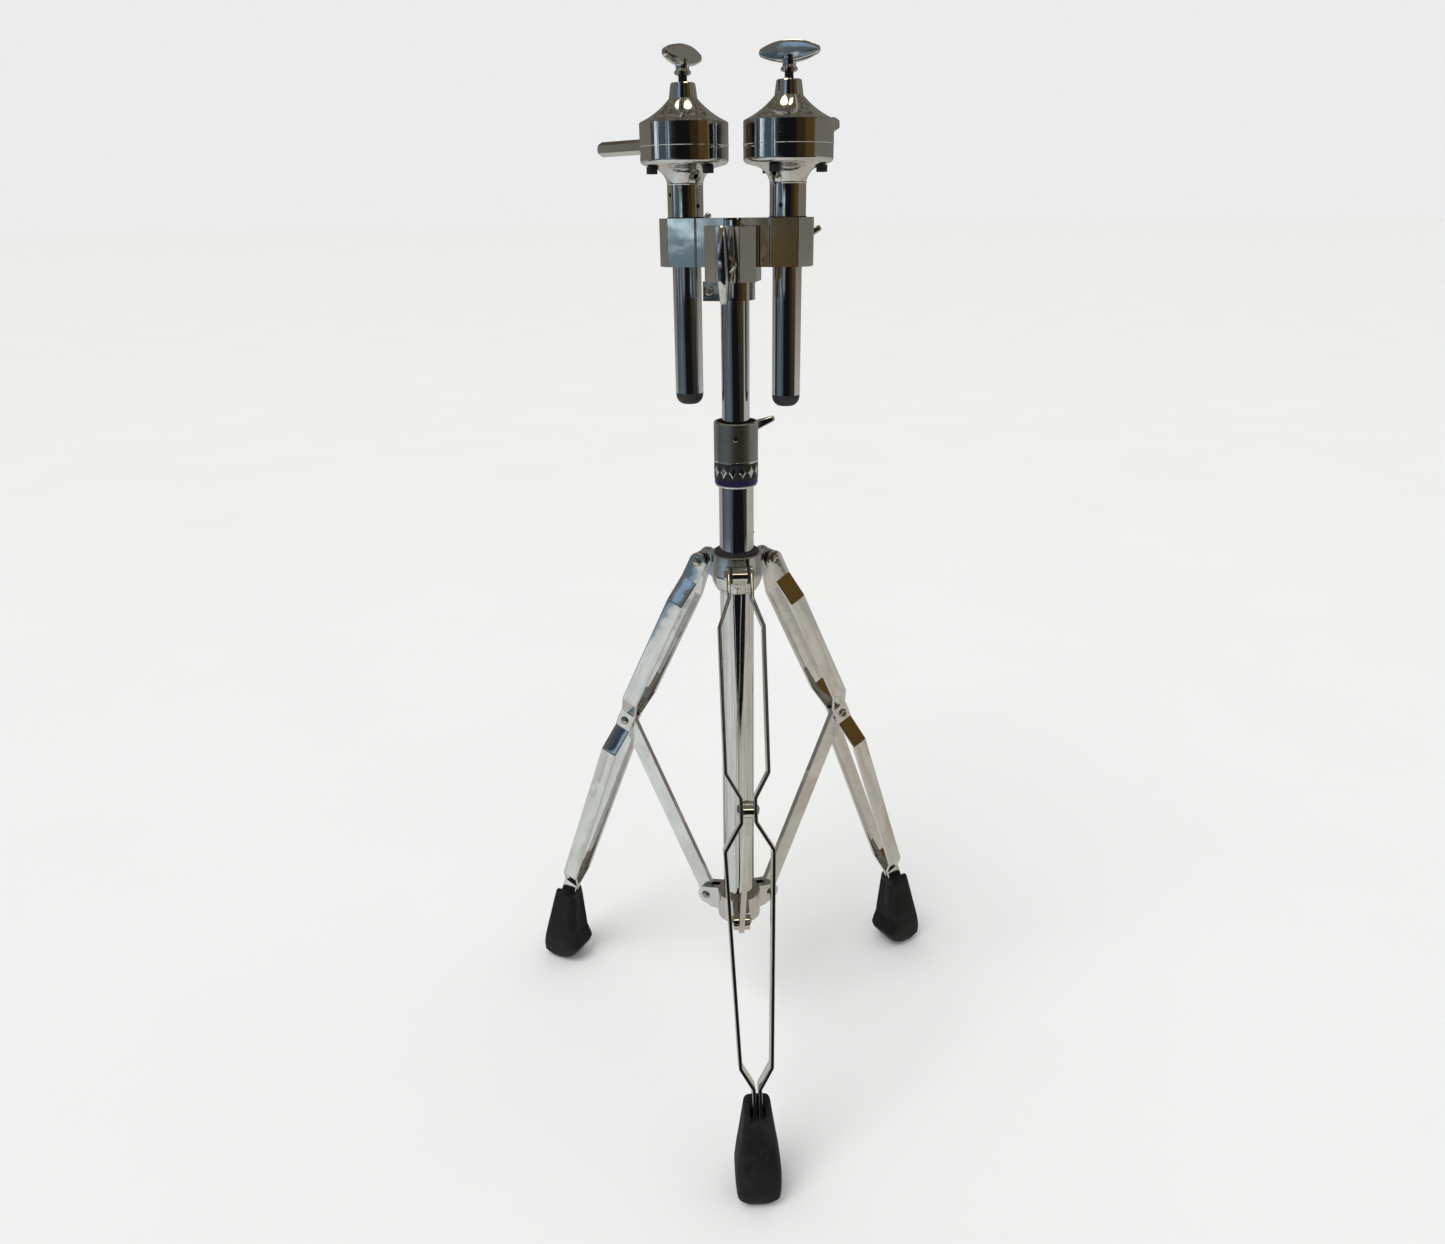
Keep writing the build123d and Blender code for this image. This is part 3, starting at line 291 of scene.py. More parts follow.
def soften(piece, width):
    """Rounds a piece's sharp edges."""
    bevel = piece.modifiers.new("rounding", "BEVEL")
    bevel.width = width
    bevel.segments = 2
    bevel.limit_method = "ANGLE"
    bevel.angle_limit = radians(28)
    bevel.harden_normals = True


for node_name, node_object in NODES.items():
    dress(node_object, SLOT_OF[node_name])


# ---------------------------------------------------------------- mesh helpers
UP = Vector((0, 0, 1))


def placement(origin, x_dir, z_dir):
    """Placement of a piece drawn in millimetres, from its origin and its own x and z directions."""
    z = Vector(z_dir).normalized()
    x = (Vector(x_dir) - z * Vector(x_dir).dot(z)).normalized()
    matrix = Matrix((x, z.cross(x), z)).transposed().to_4x4()
    matrix.translation = Vector(origin) * MM
    return matrix @ Matrix.Diagonal((MM, MM, MM, 1))


def solid(name, build, place, sharp=35):
    """Turns a mesh in build into an object, smooth except at edges sharper than sharp degrees."""
    bmesh.ops.recalc_face_normals(build, faces=build.faces)
    mesh = bpy.data.meshes.new(name)
    build.to_mesh(mesh)
    build.free()
    mesh.transform(place)
    mesh.shade_smooth()
    mesh.set_sharp_from_angle(angle=radians(sharp))
    made = bpy.data.objects.new(name, mesh)
    SCENE.collection.objects.link(made)
    return made


def skin(build, rings):
    """Joins rings of equal size into a closed surface."""
    made = [[build.verts.new(point) for point in ring] for ring in rings]
    count = len(made[0])
    for lower, upper in zip(made, made[1:]):
        for k in range(count):
            after = (k + 1) % count
            build.faces.new((lower[k], lower[after], upper[after], upper[k]))
    build.faces.new(list(reversed(made[0])))
    build.faces.new(made[-1])


def circle(radius, z, steps):
    """Points of a level circle round z."""
    turns = [2 * pi * k / steps for k in range(steps)]
    return [(radius * cos(turn), radius * sin(turn), z) for turn in turns]


def revolved(build, profile, steps=48):
    """Closed solid of revolution about z, from (radius, z) points between its two ends."""
    skin(build, [circle(radius, z, steps) for radius, z in profile])


def rounded_rectangle(half_a, half_b, corner_a, corner_b, steps=4):
    """Points round a rectangle whose corners are quarter ellipses."""
    points = []
    for quarter, (sign_a, sign_b) in enumerate(((1, 1), (-1, 1), (-1, -1), (1, -1))):
        for k in range(steps + 1):
            turn = pi / 2 * (quarter + k / steps)
            a = sign_a * (half_a - corner_a) + corner_a * cos(turn)
            b = sign_b * (half_b - corner_b) + corner_b * sin(turn)
            points.append((a, b))
    return points


def cut(target, tool):
    """Cuts tool out of target and removes the tool."""
    change = target.modifiers.new("cut", "BOOLEAN")
    change.operation = "DIFFERENCE"
    change.object = tool
    change.solver = "EXACT"
    bpy.context.view_layer.update()
    shaped = target.evaluated_get(bpy.context.evaluated_depsgraph_get())
    target.data = bpy.data.meshes.new_from_object(shaped)
    target.modifiers.clear()
    bpy.data.objects.remove(tool)


def settle(piece, slot, body, *nodes):
    """Finish, body and hidden CAD nodes of a new piece."""
    dress(piece, slot)
    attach(piece, body)
    if nodes:
        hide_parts(*nodes)


# ---------------------------------------------------------------- wing screws
THREAD_PITCH = 1.25
THREAD_DEPTH = 0.5
STUD_R = 3.45
LONG_WING = {"length": 53.6, "height": 15.0, "thickness": 7.6, "hub_r": 6.2, "hub": 9.0}
SHORT_WING = {"length": 45.6, "height": 14.2, "thickness": 7.6, "hub_r": 6.1, "hub": 7.0}
FACET_START = 0.36  # the main face ends here, counted from the middle as a share of half the wing
BALL_RADIUS = 14.1
PAD_TO_BALL = -10.8  # height of the ball's centre from the tip of a head screw
BRACKET_TURN = -14
BRACKET_SIDE = outward(BRACKET_TURN)
BRACKET_BACK = outward(BRACKET_TURN + 90)
POST_ACROSS, POST_BEHIND = 39, 8
BRACKET_BORE_REACH = 11.2  # from a bracket tube's axis to the tip of the screw that presses on it
POST_SCREW_Z = 726.25
HEAD_SCREW_TIP_Z = 805.8


def wing_face(u):
    """Distance of the wing's front face from its middle plane, as a share of half its thickness."""
    if u < FACET_START:
        return 1 - 0.12 * (u - FACET_START) ** 2
    return 1 - 0.62 * (u - FACET_START) / (1 - FACET_START)


def wing_body(build, shape):
    """Lens seen from the front; seen from its edge, a flat face and a turned-back facet on each side."""
    end = 0.965
    middle = shape["height"] / 2 - 1.2
    turns = [end * sin(pi / 2 * (k / 16 - 1)) for k in range(33)]
    turns += [-FACET_START - 0.015, -FACET_START + 0.015, FACET_START - 0.015, FACET_START + 0.015]
    rings = []
    for u, shrink in [(-1, 0.62)] + [(u, 1) for u in sorted(turns)] + [(1, 0.62)]:
        front = shape["thickness"] / 2 * wing_face(u) * shrink
        back = shape["thickness"] / 2 * wing_face(-u) * shrink
        half_y = (front + back) / 2
        half_z = shape["height"] / 2 * (1 - 0.7 * abs(u) ** 2.2) * shrink
        corner = min(1.5, 0.7 * half_y, 0.7 * half_z)
        section = rounded_rectangle(half_y, half_z, corner, corner * 1.3)
        rings.append([(u * shape["length"] / 2, y + (front - back) / 2, z + middle) for y, z in section])
    skin(build, rings)


def wing_hub(build, shape):
    """Stepped hub under the wing, with a wider ring at its foot; z is 0 where hub and wing meet."""
    radius, foot = shape["hub_r"], -shape["hub"]
    revolved(
        build,
        [
            (radius - 0.8, foot),
            (radius, foot + 0.6),
            (radius, foot + 2.3),
            (radius - 0.6, foot + 2.9),
            (radius - 1.0, foot + 3.2),
            (radius - 1.3, foot + 4.2),
            (radius - 1.1, foot + 5.6),
            (radius - 0.5, 0.3),
            (radius - 0.7, 3.5),
        ],
    )


def threaded_stud(build, length):
    """Stud with a helical thread, from its tip at z = 0."""
    around, per_turn = 24, 6
    levels = int(length / THREAD_PITCH * per_turn)
    rings = []
    for i in range(levels + 1):
        z = length * i / levels
        lead_in = 0.6 * max(0.0, 1 - z / 0.9)
        ring = []
        for k in range(around):
            turn = (z / THREAD_PITCH - k / around) % 1.0
            radius = STUD_R - lead_in - THREAD_DEPTH * (1 - abs(2 * turn - 1))
            ring.append((radius * cos(2 * pi * k / around), radius * sin(2 * pi * k / around), z))
        rings.append(ring)
    skin(build, rings)


def wing_screw(node, body, tip, axis, wing_dir, stud_length, shape, pad=False):
    """Cast wing and hub, and a separate dark threaded stud; the head screws end in a pressure pad."""
    axis = Vector(axis)
    build = bmesh.new()
    wing_body(build, shape)
    wing_hub(build, shape)
    seat = Vector(tip) + axis * (stud_length + shape["hub"])
    wing = solid(node + "_wing", build, placement(seat, wing_dir, axis), 24)
    settle(wing, "cast_chrome", body, node)
    build = bmesh.new()
    threaded_stud(build, stud_length + 1)
    if pad:
        turns = (0.05, 0.2, 0.35, 0.5, 0.6)
        bowl = [(BALL_RADIUS * sin(turn), PAD_TO_BALL + BALL_RADIUS * cos(turn)) for turn in turns]
        revolved(build, bowl + [(8.4, 0.9), (8.4, 6), (7.9, 6.5), (2, 6.5)])
    stud = solid(node + "_stud", build, placement(tip, wing_dir, axis), 24)
    settle(stud, "screw_black", body)


def leaning(angle, lean):
    """Wing direction that leans up by lean degrees, on a screw that points along angle."""
    return outward(angle - 90) * cos(radians(lean)) + UP * sin(radians(lean))


def make_wing_screws():
    # node's first word, compass angle, tip's distance and height, wing's lean, stud's length, shape
    for name, angle, reach, height, lean, stud, shape in (
        ("crown", 90, 14.35, 466, 47, 19, LONG_WING),
        ("boss", 70, 12.75, 579, 20, 15.5, SHORT_WING),
        ("bracket", BRACKET_TURN - 90, BRACKET_BORE_REACH, 712, 88, 21.5, LONG_WING),
    ):
        tip = outward(angle) * reach + UP * height
        wing = leaning(angle, lean)
        wing_screw(name + "_wing_screw", name + "_screw", tip, outward(angle), wing, stud, shape)
    # side, place across the bracket, post screw's lean, head wing's compass angle
    for side, across, lean, turn in (("left", -POST_ACROSS, 62, 56), ("right", POST_ACROSS, 22, -26)):
        post = BRACKET_SIDE * across + BRACKET_BACK * POST_BEHIND
        tip = post + BRACKET_BACK * BRACKET_BORE_REACH + UP * POST_SCREW_Z
        wing = leaning(BRACKET_TURN + 90, lean)
        name = side + "_post"
        wing_screw(name + "_wing_screw", name + "_screw", tip, BRACKET_BACK, wing, 16, SHORT_WING)
        tip = post + UP * HEAD_SCREW_TIP_Z
        wing = outward(turn)
        name = side + "_head"
        wing_screw(name + "_wing_screw", name + "_screw", tip, UP, wing, 34.8, SHORT_WING, pad=True)


# ---------------------------------------------------------------- leg bars
LEG_ANGLES = {"front": -90, "left": 150, "right": 30}
CROWN_PIVOT = Vector((32, 472))  # (r, z) in a leg's own plane
KNEE = Vector((115, 302.5))
BAR_END = Vector((205.12, 66))
BAR_HALF_WIDTH = 7.75
BAR_HALF_THICK = 1.5
BAR_CORNER, BAR_CORNER_THICK = 0.9, 0.7
BEND_R = 3.2
COLLAR_PIVOT = Vector((32, 133))
UPPER_RUN = (KNEE - CROWN_PIVOT).length
LOWER_RUN = (BAR_END - KNEE).length
# (sideways, distance along the run) of a bar's middle line
UPPER_BENDS = [(9.4, 0), (9.4, 19), (17.9, 42), (17.2, 159), (5.8, 179.3), (5.8, UPPER_RUN)]
LOWER_BENDS = [(5.8, 0), (5.8, 9.2), (19.4, 31.6), (12.6, 205), (2.5, 222), (2.5, LOWER_RUN)]


def rounded_path(points, radius, steps=6):
    """Points and directions along a line whose corners are arcs."""
    points = [Vector(point) for point in points]
    line = [(points[0], (points[1] - points[0]).normalized())]
    for before, corner, after in zip(points, points[1:], points[2:]):
        arrive = (corner - before).normalized()
        leave = (after - corner).normalized()
        turn = arrive.angle_signed(leave)
        start = corner - arrive * radius * abs(sin(turn / 2) / cos(turn / 2))
        for k in range(steps + 1):
            part = -turn * k / steps
            spin = Matrix.Rotation(part, 2)
            chord = Matrix.Rotation(part / 2, 2) @ arrive * 2 * radius * sin(abs(part) / 2)
            line.append((start + chord, spin @ arrive))
    line.append((points[-1], (points[-1] - points[-2]).normalized()))
    return line


def bar_rings(angle, side, start, end, bends, round_start):
    """Sections of one run of a bar, as (centre, width direction, thickness direction, half width)."""
    away = outward(angle)
    run = (end - start).normalized()
    along = away * run.x + UP * run.y
    across = UP * run.x - away * run.y
    sideways = outward(angle + 90)
    origin = away * start.x + UP * start.y
    stations = [(point, direction, BAR_HALF_WIDTH) for point, direction in rounded_path(bends, BEND_R)]
    if round_start:
        point, direction = stations[0][:2]
        tip = []
        for k in range(1, 10):
            turn = pi / 2 * k / 9.5
            back = BAR_HALF_WIDTH * cos(turn)
            tip.append((point - direction * back, direction, BAR_HALF_WIDTH * sin(turn)))
        stations = tip + stations
    rings = []
    for point, direction, half in stations:
        centre = origin + along * point.y + sideways * side * point.x
        face = sideways * direction.y - along * side * direction.x
        rings.append((centre, across, face, half))
    return rings


def leg_bar(leg, letter, side):
    """Bowed flat bar with rounded edges: two runs that meet at the knee."""
    angle = LEG_ANGLES[leg]
    upper = bar_rings(angle, side, CROWN_PIVOT, KNEE, UPPER_BENDS, True)
    lower = bar_rings(angle, side, KNEE, BAR_END, LOWER_BENDS, False)
    centre, across, face, half = upper.pop()
    mitre = (across + lower[0][1]) / 2
    lower[0] = (centre, mitre / mitre.length_squared, face, half)
    rings = []
    for centre, across, face, half in upper + lower:
        section = rounded_rectangle(half, BAR_HALF_THICK, min(BAR_CORNER, half * 0.8), BAR_CORNER_THICK)
        rings.append([centre + across * u + face * v for u, v in section])
    build = bmesh.new()
    skin(build, rings)
    bar = solid(f"{leg}_bar_{letter}", build, Matrix.Diagonal((MM, MM, MM, 1)), 40)
    settle(bar, "leg_chrome", f"{leg}_leg", f"{leg}_leg_bar_{letter}")


# ---------------------------------------------------------------- feet
# (height, inner radius, outer radius, half width) of a foot, in millimetres
FOOT_LEVELS = [
    (0.0, 205.5, 218.5, 9.0),
    (0.9, 202.0, 221.8, 12.4),
    (3.2, 196.5, 225.8, 15.6),
    (8.0, 190.6, 228.0, 17.9),
    (14.0, 185.8, 228.3, 18.6),
    (19.0, 183.6, 227.8, 18.7),
    (25.0, 186.2, 226.4, 18.7),
    (31.0, 188.8, 224.8, 18.3),
    (40.0, 189.0, 222.4, 17.3),
    (55.0, 189.0, 218.6, 14.9),
    (70.0, 189.1, 214.8, 12.7),
    (82.0, 189.6, 211.6, 11.0),
    (84.2, 190.6, 210.2, 10.2),
    (85.0, 192.6, 207.4, 8.6),
]
FOOT_PARTING = 52.0
FOOT_RIBS = (24.0, 78.0)
RIB_PITCH = 4.2
POCKET_INNER, POCKET_OUTER, POCKET_HALF = 202.2, 216, 6.6
POCKET_FLOOR, POCKET_TOP = 75.5, 88


def foot_size(z):
    """Inner radius, outer radius and half width of a foot at height z."""
    for lower, upper in zip(FOOT_LEVELS, FOOT_LEVELS[1:]):
        if z <= upper[0]:
            t = (z - lower[0]) / (upper[0] - lower[0])
            return [a + (b - a) * t for a, b in zip(lower[1:], upper[1:])]
    return FOOT_LEVELS[-1][1:]


def signed_power(value, power):
    """Power of a value's size, with the value's own sign."""
    return abs(value) ** power * (1 if value >= 0 else -1)


def foot_ring(z, around=176):
    """Section of a foot: squarish, ribbed on its inner face, with a fine parting groove."""
    inner, outer, half = foot_size(z)
    middle, depth = (inner + outer) / 2, (outer - inner) / 2
    squareness = 0.62 if z < 8 else 0.42
    ring = []
    for k in range(around):
        turn = 2 * pi * k / around
        r = depth * signed_power(cos(turn), squareness)
        w = half * signed_power(sin(turn), squareness)
        if cos(turn) < -0.5 and abs(w) < half - 3.4 and FOOT_RIBS[0] < z < FOOT_RIBS[1]:
            fade = min(1.0, (z - FOOT_RIBS[0]) / 7, (FOOT_RIBS[1] - z) / 3)
            r += (0.75 + 0.75 * cos(2 * pi * w / RIB_PITCH)) * fade
        elif cos(turn) > -0.6:
            groove = 0.35 * max(0.0, 1 - abs(z - FOOT_PARTING) / 0.8)
            r -= groove * cos(turn)
            w -= groove * sin(turn)
        ring.append((middle + r, w, z))
    return ring


def foot_piece(leg):
    """Rubber boot with a pocket at its outer top, where the two bar ends show."""
    angle = LEG_ANGLES[leg]
    edges = [row[0] for row in FOOT_LEVELS if row[0] < 9 or row[0] > 83]
    heights = sorted(edges + [8.5 + 1.1 * k for k in range(68)])
    build = bmesh.new()
    skin(build, [foot_ring(z) for z in heights])
    place = placement((0, 0, 0), outward(angle), UP)
    boot = solid(leg + "_boot", build, place, 50)
    build = bmesh.new()
    corners = [
        (POCKET_INNER, -POCKET_HALF),
        (POCKET_OUTER, -POCKET_HALF),
        (POCKET_OUTER, POCKET_HALF),
        (POCKET_INNER, POCKET_HALF),
    ]
    skin(build, [[(r, w, z) for r, w in corners] for z in (POCKET_FLOOR, POCKET_TOP)])
    cut(boot, solid(leg + "_pocket", build, place, 50))
    settle(boot, "foot_rubber", leg + "_leg", leg + "_foot")


# ---------------------------------------------------------------- rivets
def rivet(build, reach, radius):
    """Rivet along z: a domed head below, a rolled tubular end above."""
    head_r, head_h = 4.3, 2.0
    turns = [pi / 2 * k / 8.3 for k in range(9)]
    dome = [(head_r * cos(turn), -reach - head_h * sin(turn)) for turn in turns]
    rolled = [(0, 0), (0, 0.5), (0.5, 1.3), (1.3, 1.7), (2.0, 1.4), (2.3, 0.6), (2.6, -2)]
    roll = [(head_r - inset, reach + rise_mm) for inset, rise_mm in rolled]
    revolved(build, dome[::-1] + [(radius, -reach), (radius, reach)] + roll, 32)


def rivets(name, body, node, legs, distance, height, reach, radius):
    """The rivets of one node, one for each leg named; distance and height are the rivet's place."""
    build = bmesh.new()
    for leg in legs:
        angle = LEG_ANGLES[leg]
        single = bmesh.new()
        rivet(single, reach, radius)
        mesh = bpy.data.meshes.new("rivet")
        single.to_mesh(mesh)
        single.free()
        local = placement((0, 0, 0), UP, outward(angle - 90))
        local.translation = (outward(angle) * distance + UP * height) * MM
        mesh.transform(local)
        build.from_mesh(mesh)
        bpy.data.meshes.remove(mesh)
    settle(solid(name, build, Matrix.Identity(4), 40), "rivet_steel", body, node)


# ---------------------------------------------------------------- small parts
def band_relief():
    """Silver lozenges round the black band of the boss, each one raised to a small ridge."""
    band_r, low, high = 17.7, 548.2, 558.4
    middle, half = (low + high) / 2, (high - low) / 2
    build = bmesh.new()
    count = 14
    wide = 2 * pi / count * 0.4
    for k in range(count):
        rings = []
        for radius, scale in ((band_r - 0.6, 1.0), (band_r + 0.12, 1.0), (band_r + 0.3, 0.6)):
            ring = []
            for a, b in ((-1, 0), (0, -1), (1, 0), (0, 1)):
                turn = 2 * pi * k / count + a * wide * scale
                ring.append((radius * cos(turn), radius * sin(turn), middle + b * half * scale))
            rings.append(ring)
        skin(build, rings)
    relief = solid("band_relief", build, Matrix.Diagonal((MM, MM, MM, 1)), 10)
    settle(relief, "cast_chrome", "mast")


def boss_hole_shade_plug():
    """Dark disc with a shallow recess at the floor of the boss's small hole, painted shade that darkens
    the hole; and the hole's bright turned rim.
    """
    steps = 32
    facing = outward(-95)
    place = placement(facing * 16.2 + UP * 580.5, UP, facing)
    build = bmesh.new()
    # the dark disc is painted shade: it darkens the floor of the hole where shade falls
    revolved(build, [(1.6, 0.0), (1.6, 0.5), (0.9, 0.7), (0.8, 0.2)], steps)
    settle(solid("boss_hole_shade_plug", build, place, 30), "screw_black", "mast")
    build = bmesh.new()
    section = [(1.75, 1.0), (2.25, 1.45), (2.2, 1.72), (1.9, 1.78), (1.72, 1.6)]
    loops = [[build.verts.new(point) for point in circle(radius, z, steps)] for radius, z in section]
    for lower, upper in zip(loops, loops[1:] + loops[:1]):
        for k in range(steps):
            after = (k + 1) % steps
            build.faces.new((lower[k], lower[after], upper[after], upper[k]))
    settle(solid("boss_hole_rim", build, place, 40), "cast_chrome", "mast")


def memory_screw_piece():
    """Domed screw with a cross recess, in the collar's square pocket."""
    head_base, shank_end = 14.6, 2.0
    build = bmesh.new()
    turns = [pi / 2 * k / 6.3 for k in range(7)]
    dome = [(3.5 * cos(turn), head_base + 1.2 + 1.6 * sin(turn)) for turn in turns]
    shank = [(1.7, shank_end), (2.15, shank_end + 0.6), (2.15, head_base), (3.5, head_base)]
    revolved(build, shank + dome, 32)
    facing = outward(BRACKET_TURN - 90)
    place = placement(BRACKET_SIDE * -16.9 + UP * 691.97, UP, facing)
    screw = solid("memory_screw_cross", build, place, 40)
    for turn in (20, 110):
        build = bmesh.new()
        side = Vector((cos(radians(turn)), sin(radians(turn)), 0))
        edge = Vector((-side.y, side.x, 0))
        corners = [side * a * 2.3 + edge * b * 0.5 for a, b in ((1, 1), (-1, 1), (-1, -1), (1, -1))]
        skin(build, [[corner + UP * z for corner in corners] for z in (head_base + 1.3, head_base + 4)])
        cut(screw, solid("cross", build, place, 40))
    settle(screw, "rivet_steel", "upper_mast", "memory_screw")


make_wing_screws()
for leg_name in LEG_ANGLES:
    leg_bar(leg_name, "a", -1)
    leg_bar(leg_name, "b", 1)
    foot_piece(leg_name)
    knee = leg_name + "_knee"
    rivets(knee + "_rivet", leg_name + "_leg", knee + "_pin", [leg_name], *KNEE, 7.3, 3.0)
rivets("crown_rivets", "crown", "crown_pins", LEG_ANGLES, *CROWN_PIVOT, 10.95, 3.0)
rivets("collar_rivets", "mast", "collar_pins", LEG_ANGLES, *COLLAR_PIVOT, 7.5, 2.5)
band_relief()
boss_hole_shade_plug()
memory_screw_piece()
ROUNDINGS = {"bracket": 0.9, "crown": 0.8, "leg_collar": 0.7, "memory_collar": 0.6}
ROUNDINGS.update({leg_name + "_strut": 0.7 for leg_name in LEG_ANGLES})
ROUNDINGS.update({side + part: 0.4 for side in ("left", "right") for part in ("_ball_cap", "_ball_cup")})
for node_name, width in ROUNDINGS.items():
    soften(NODES[node_name], width * MM)


# ---------------------------------------------------------------- surroundings
def compass(degrees):
    """Position of a compass direction on a 0 to 1 ramp; 0 degrees is the front, positive to the right."""
    return (degrees + 180) / 360


def rise(degrees):
    """Height of a direction above the horizon, as the z of a unit vector."""
    return sin(radians(degrees))


def plateau(g, value, start, full, last, end):
    """0 up to start, 1 from full to last, and 0 again from end."""
    return g.ramp(value, [(0, 0), (start, 0), (full, 1), (last, 1), (end, 0), (1, 0)])


def room_colours(g, direction, bounced):
    """The room that the metal mirrors; bounced is 1 in images of images, which leave the lamps out."""
    parts = g.add("ShaderNodeSeparateXYZ", {"Vector": direction}).outputs
    turn = g.maths("ARCTAN2", parts[0], g.maths("MULTIPLY", parts[1], -1.0))
    around = g.maths("ADD", g.maths("DIVIDE", turn, 2 * pi), 0.5)
    high = parts[2]
    mottle = g.noise(direction, 13.0, 4.0, 0.65)

    wall = (0.17, 0.155, 0.135)
    lit_wall = (0.42, 0.4, 0.37)
    window = (0.055, 0.08, 0.095)
    cupboard = (0.085, 0.05, 0.014)
    shade = (0.02, 0.02, 0.021)
    level_walls = g.ramp(
        around,
        [
            (compass(-180), wall),
            (compass(-98), wall),
            (compass(-92), shade),
            (compass(-88), window),
            (compass(-40), window),
            (compass(-34), shade),
            (compass(12), shade),
            (compass(16), (0.03, 0.02, 0.008)),
            (compass(35), (0.035, 0.024, 0.01)),
            (compass(38), cupboard),
            (compass(60), cupboard),
            (compass(66), wall),
            (compass(180), wall),
        ],
    )
    low_walls = g.ramp(
        around,
        [
            (compass(-180), lit_wall),
            (compass(-112), (0.3, 0.3, 0.29)),
            (compass(-106), shade),
            (compass(-98), (0.07, 0.1, 0.12)),
            (compass(-60), (0.1, 0.14, 0.165)),
            (compass(-22), (0.03, 0.045, 0.055)),
            (compass(20), shade),
            (compass(40), (0.03, 0.025, 0.015)),
            (compass(66), (0.04, 0.035, 0.025)),
            (compass(72), lit_wall),
            (compass(180), lit_wall),
        ],
    )
    walls = g.mix(g.span(high, rise(-9), rise(-2)), low_walls, level_walls)

    # the window: narrow bright gaps between leaves, and blue sky above them
    beside_window = plateau(g, around, compass(-90), compass(-84), compass(-44), compass(-36))
    gaps = g.span(g.noise(g.stretched(direction, (1.0, 1.0, 0.25)), 18.0, 3.0, 0.7), 0.56, 0.6)
    at_window = g.ramp(g.span(high, rise(-8), rise(16)), [(0, 0), (0.25, 1), (0.7, 1), (1, 0)])
    at_gaps = g.maths("MULTIPLY", g.maths("MULTIPLY", gaps, beside_window), at_window)
    walls = g.mix(at_gaps, walls, (0.95, 1.1, 1.2, 1))
    at_sky = plateau(g, around, compass(-47), compass(-45), compass(-31), compass(-29))
    fine = g.noise(direction, 60.0, 3.0, 0.7)
    sky = g.mix(g.span(fine, 0.35, 0.65), (0.12, 0.22, 0.34, 1), (0.32, 0.46, 0.58, 1))
    dusk = g.mix(g.span(fine, 0.4, 0.75), (0.007, 0.013, 0.026, 1), (0.06, 0.1, 0.15, 1))
    over_dusk = g.span(high, rise(22.5), rise(23))
    beside_dusk = g.span(around, compass(-34.5), compass(-35))
    sky = g.mix(g.maths("MULTIPLY", over_dusk, beside_dusk), sky, dusk)
    plaster = g.mix(mottle, (0.07, 0.075, 0.075, 1), (0.2, 0.2, 0.19, 1))
    left_side = g.span(around, compass(20), compass(-20))
    over_window = g.span(high, rise(4), rise(8), 0.0, 0.7)
    walls = g.mix(g.maths("MULTIPLY", left_side, over_window), walls, plaster)
    walls = g.mix(g.maths("MULTIPLY", at_sky, g.span(high, rise(10.5), rise(12))), walls, sky)

    stone = g.noise(g.stretched(direction, (2.2, 2.2, 7.0)), 2.3, 4.0, 0.6)
    pale = g.ramp(
        around,
        [
            (compass(-180), (0.5, 0.48, 0.44)),
            (compass(-120), (0.56, 0.56, 0.54)),
            (compass(-60), (0.7, 0.745, 0.73)),
            (compass(0), (0.6, 0.58, 0.53)),
            (compass(70), (0.5, 0.47, 0.41)),
            (compass(180), (0.5, 0.48, 0.44)),
        ],
    )
    ground = g.mix(g.span(stone, 0.5, 0.68, 0.0, 0.6), pale, (0.32, 0.28, 0.22, 1))
    ground = g.mix(g.span(mottle, 0.52, 0.6, 0.0, 0.5), ground, (0.33, 0.26, 0.18, 1))
    ground = g.mix(g.span(fine, 0.35, 0.7, 0.0, 0.22), ground, (0.3, 0.29, 0.26, 1))
    skirting = g.ramp(
        around,
        [
            (compass(-180), 0.3),
            (compass(-100), 0.14),
            (compass(-72), (0.22, 0.31, 0.38)),
            (compass(-52), (0.22, 0.31, 0.38)),
            (compass(-44), (0.1, 0.12, 0.13)),
            (compass(0), 0.02),
            (compass(45), 0.07),
            (compass(58), (0.36, 0.345, 0.31)),
            (compass(76), (0.36, 0.345, 0.31)),
            (compass(100), 0.15),
            (compass(180), 0.3),
        ],
    )
    lower = g.mix(g.span(high, rise(-20), rise(-19.7)), ground, skirting)
    lower = g.mix(g.span(high, rise(-18), rise(-17)), lower, walls)

    ceiling = g.mix(g.span(mottle, 0.35, 0.65), (0.05, 0.043, 0.032, 1), (0.21, 0.19, 0.15, 1))
    upper_right = g.span(around, compass(20), compass(34))
    start = g.span(upper_right, 0.0, 1.0, rise(24), rise(30))
    room = g.mix(g.span(g.maths("SUBTRACT", high, start), 0.0, 0.09), lower, ceiling)

    # the dark figure in front: widest at the horizon, narrowing to the floor and above the head
    outline = [(0, 0), (0.03, 1.0), (0.07, 1.65), (0.11, 2.0), (0.19, 1.4)]
    outline += [(0.3, 1.1), (0.42, 1.0), (0.6, 0.8), (1, 0)]
    width = g.ramp(g.span(high, rise(-28), rise(45)), outline)
    middle = g.span(high, rise(-4), rise(-18), compass(-9), compass(12))
    across = g.maths("ABSOLUTE", g.maths("SUBTRACT", around, middle))
    reach = g.maths("MULTIPLY", width, 23 / 360)
    dark = g.span(g.maths("SUBTRACT", reach, across), -0.003, 0.004)
    room = g.mix(dark, room, (0.007, 0.007, 0.008, 1))

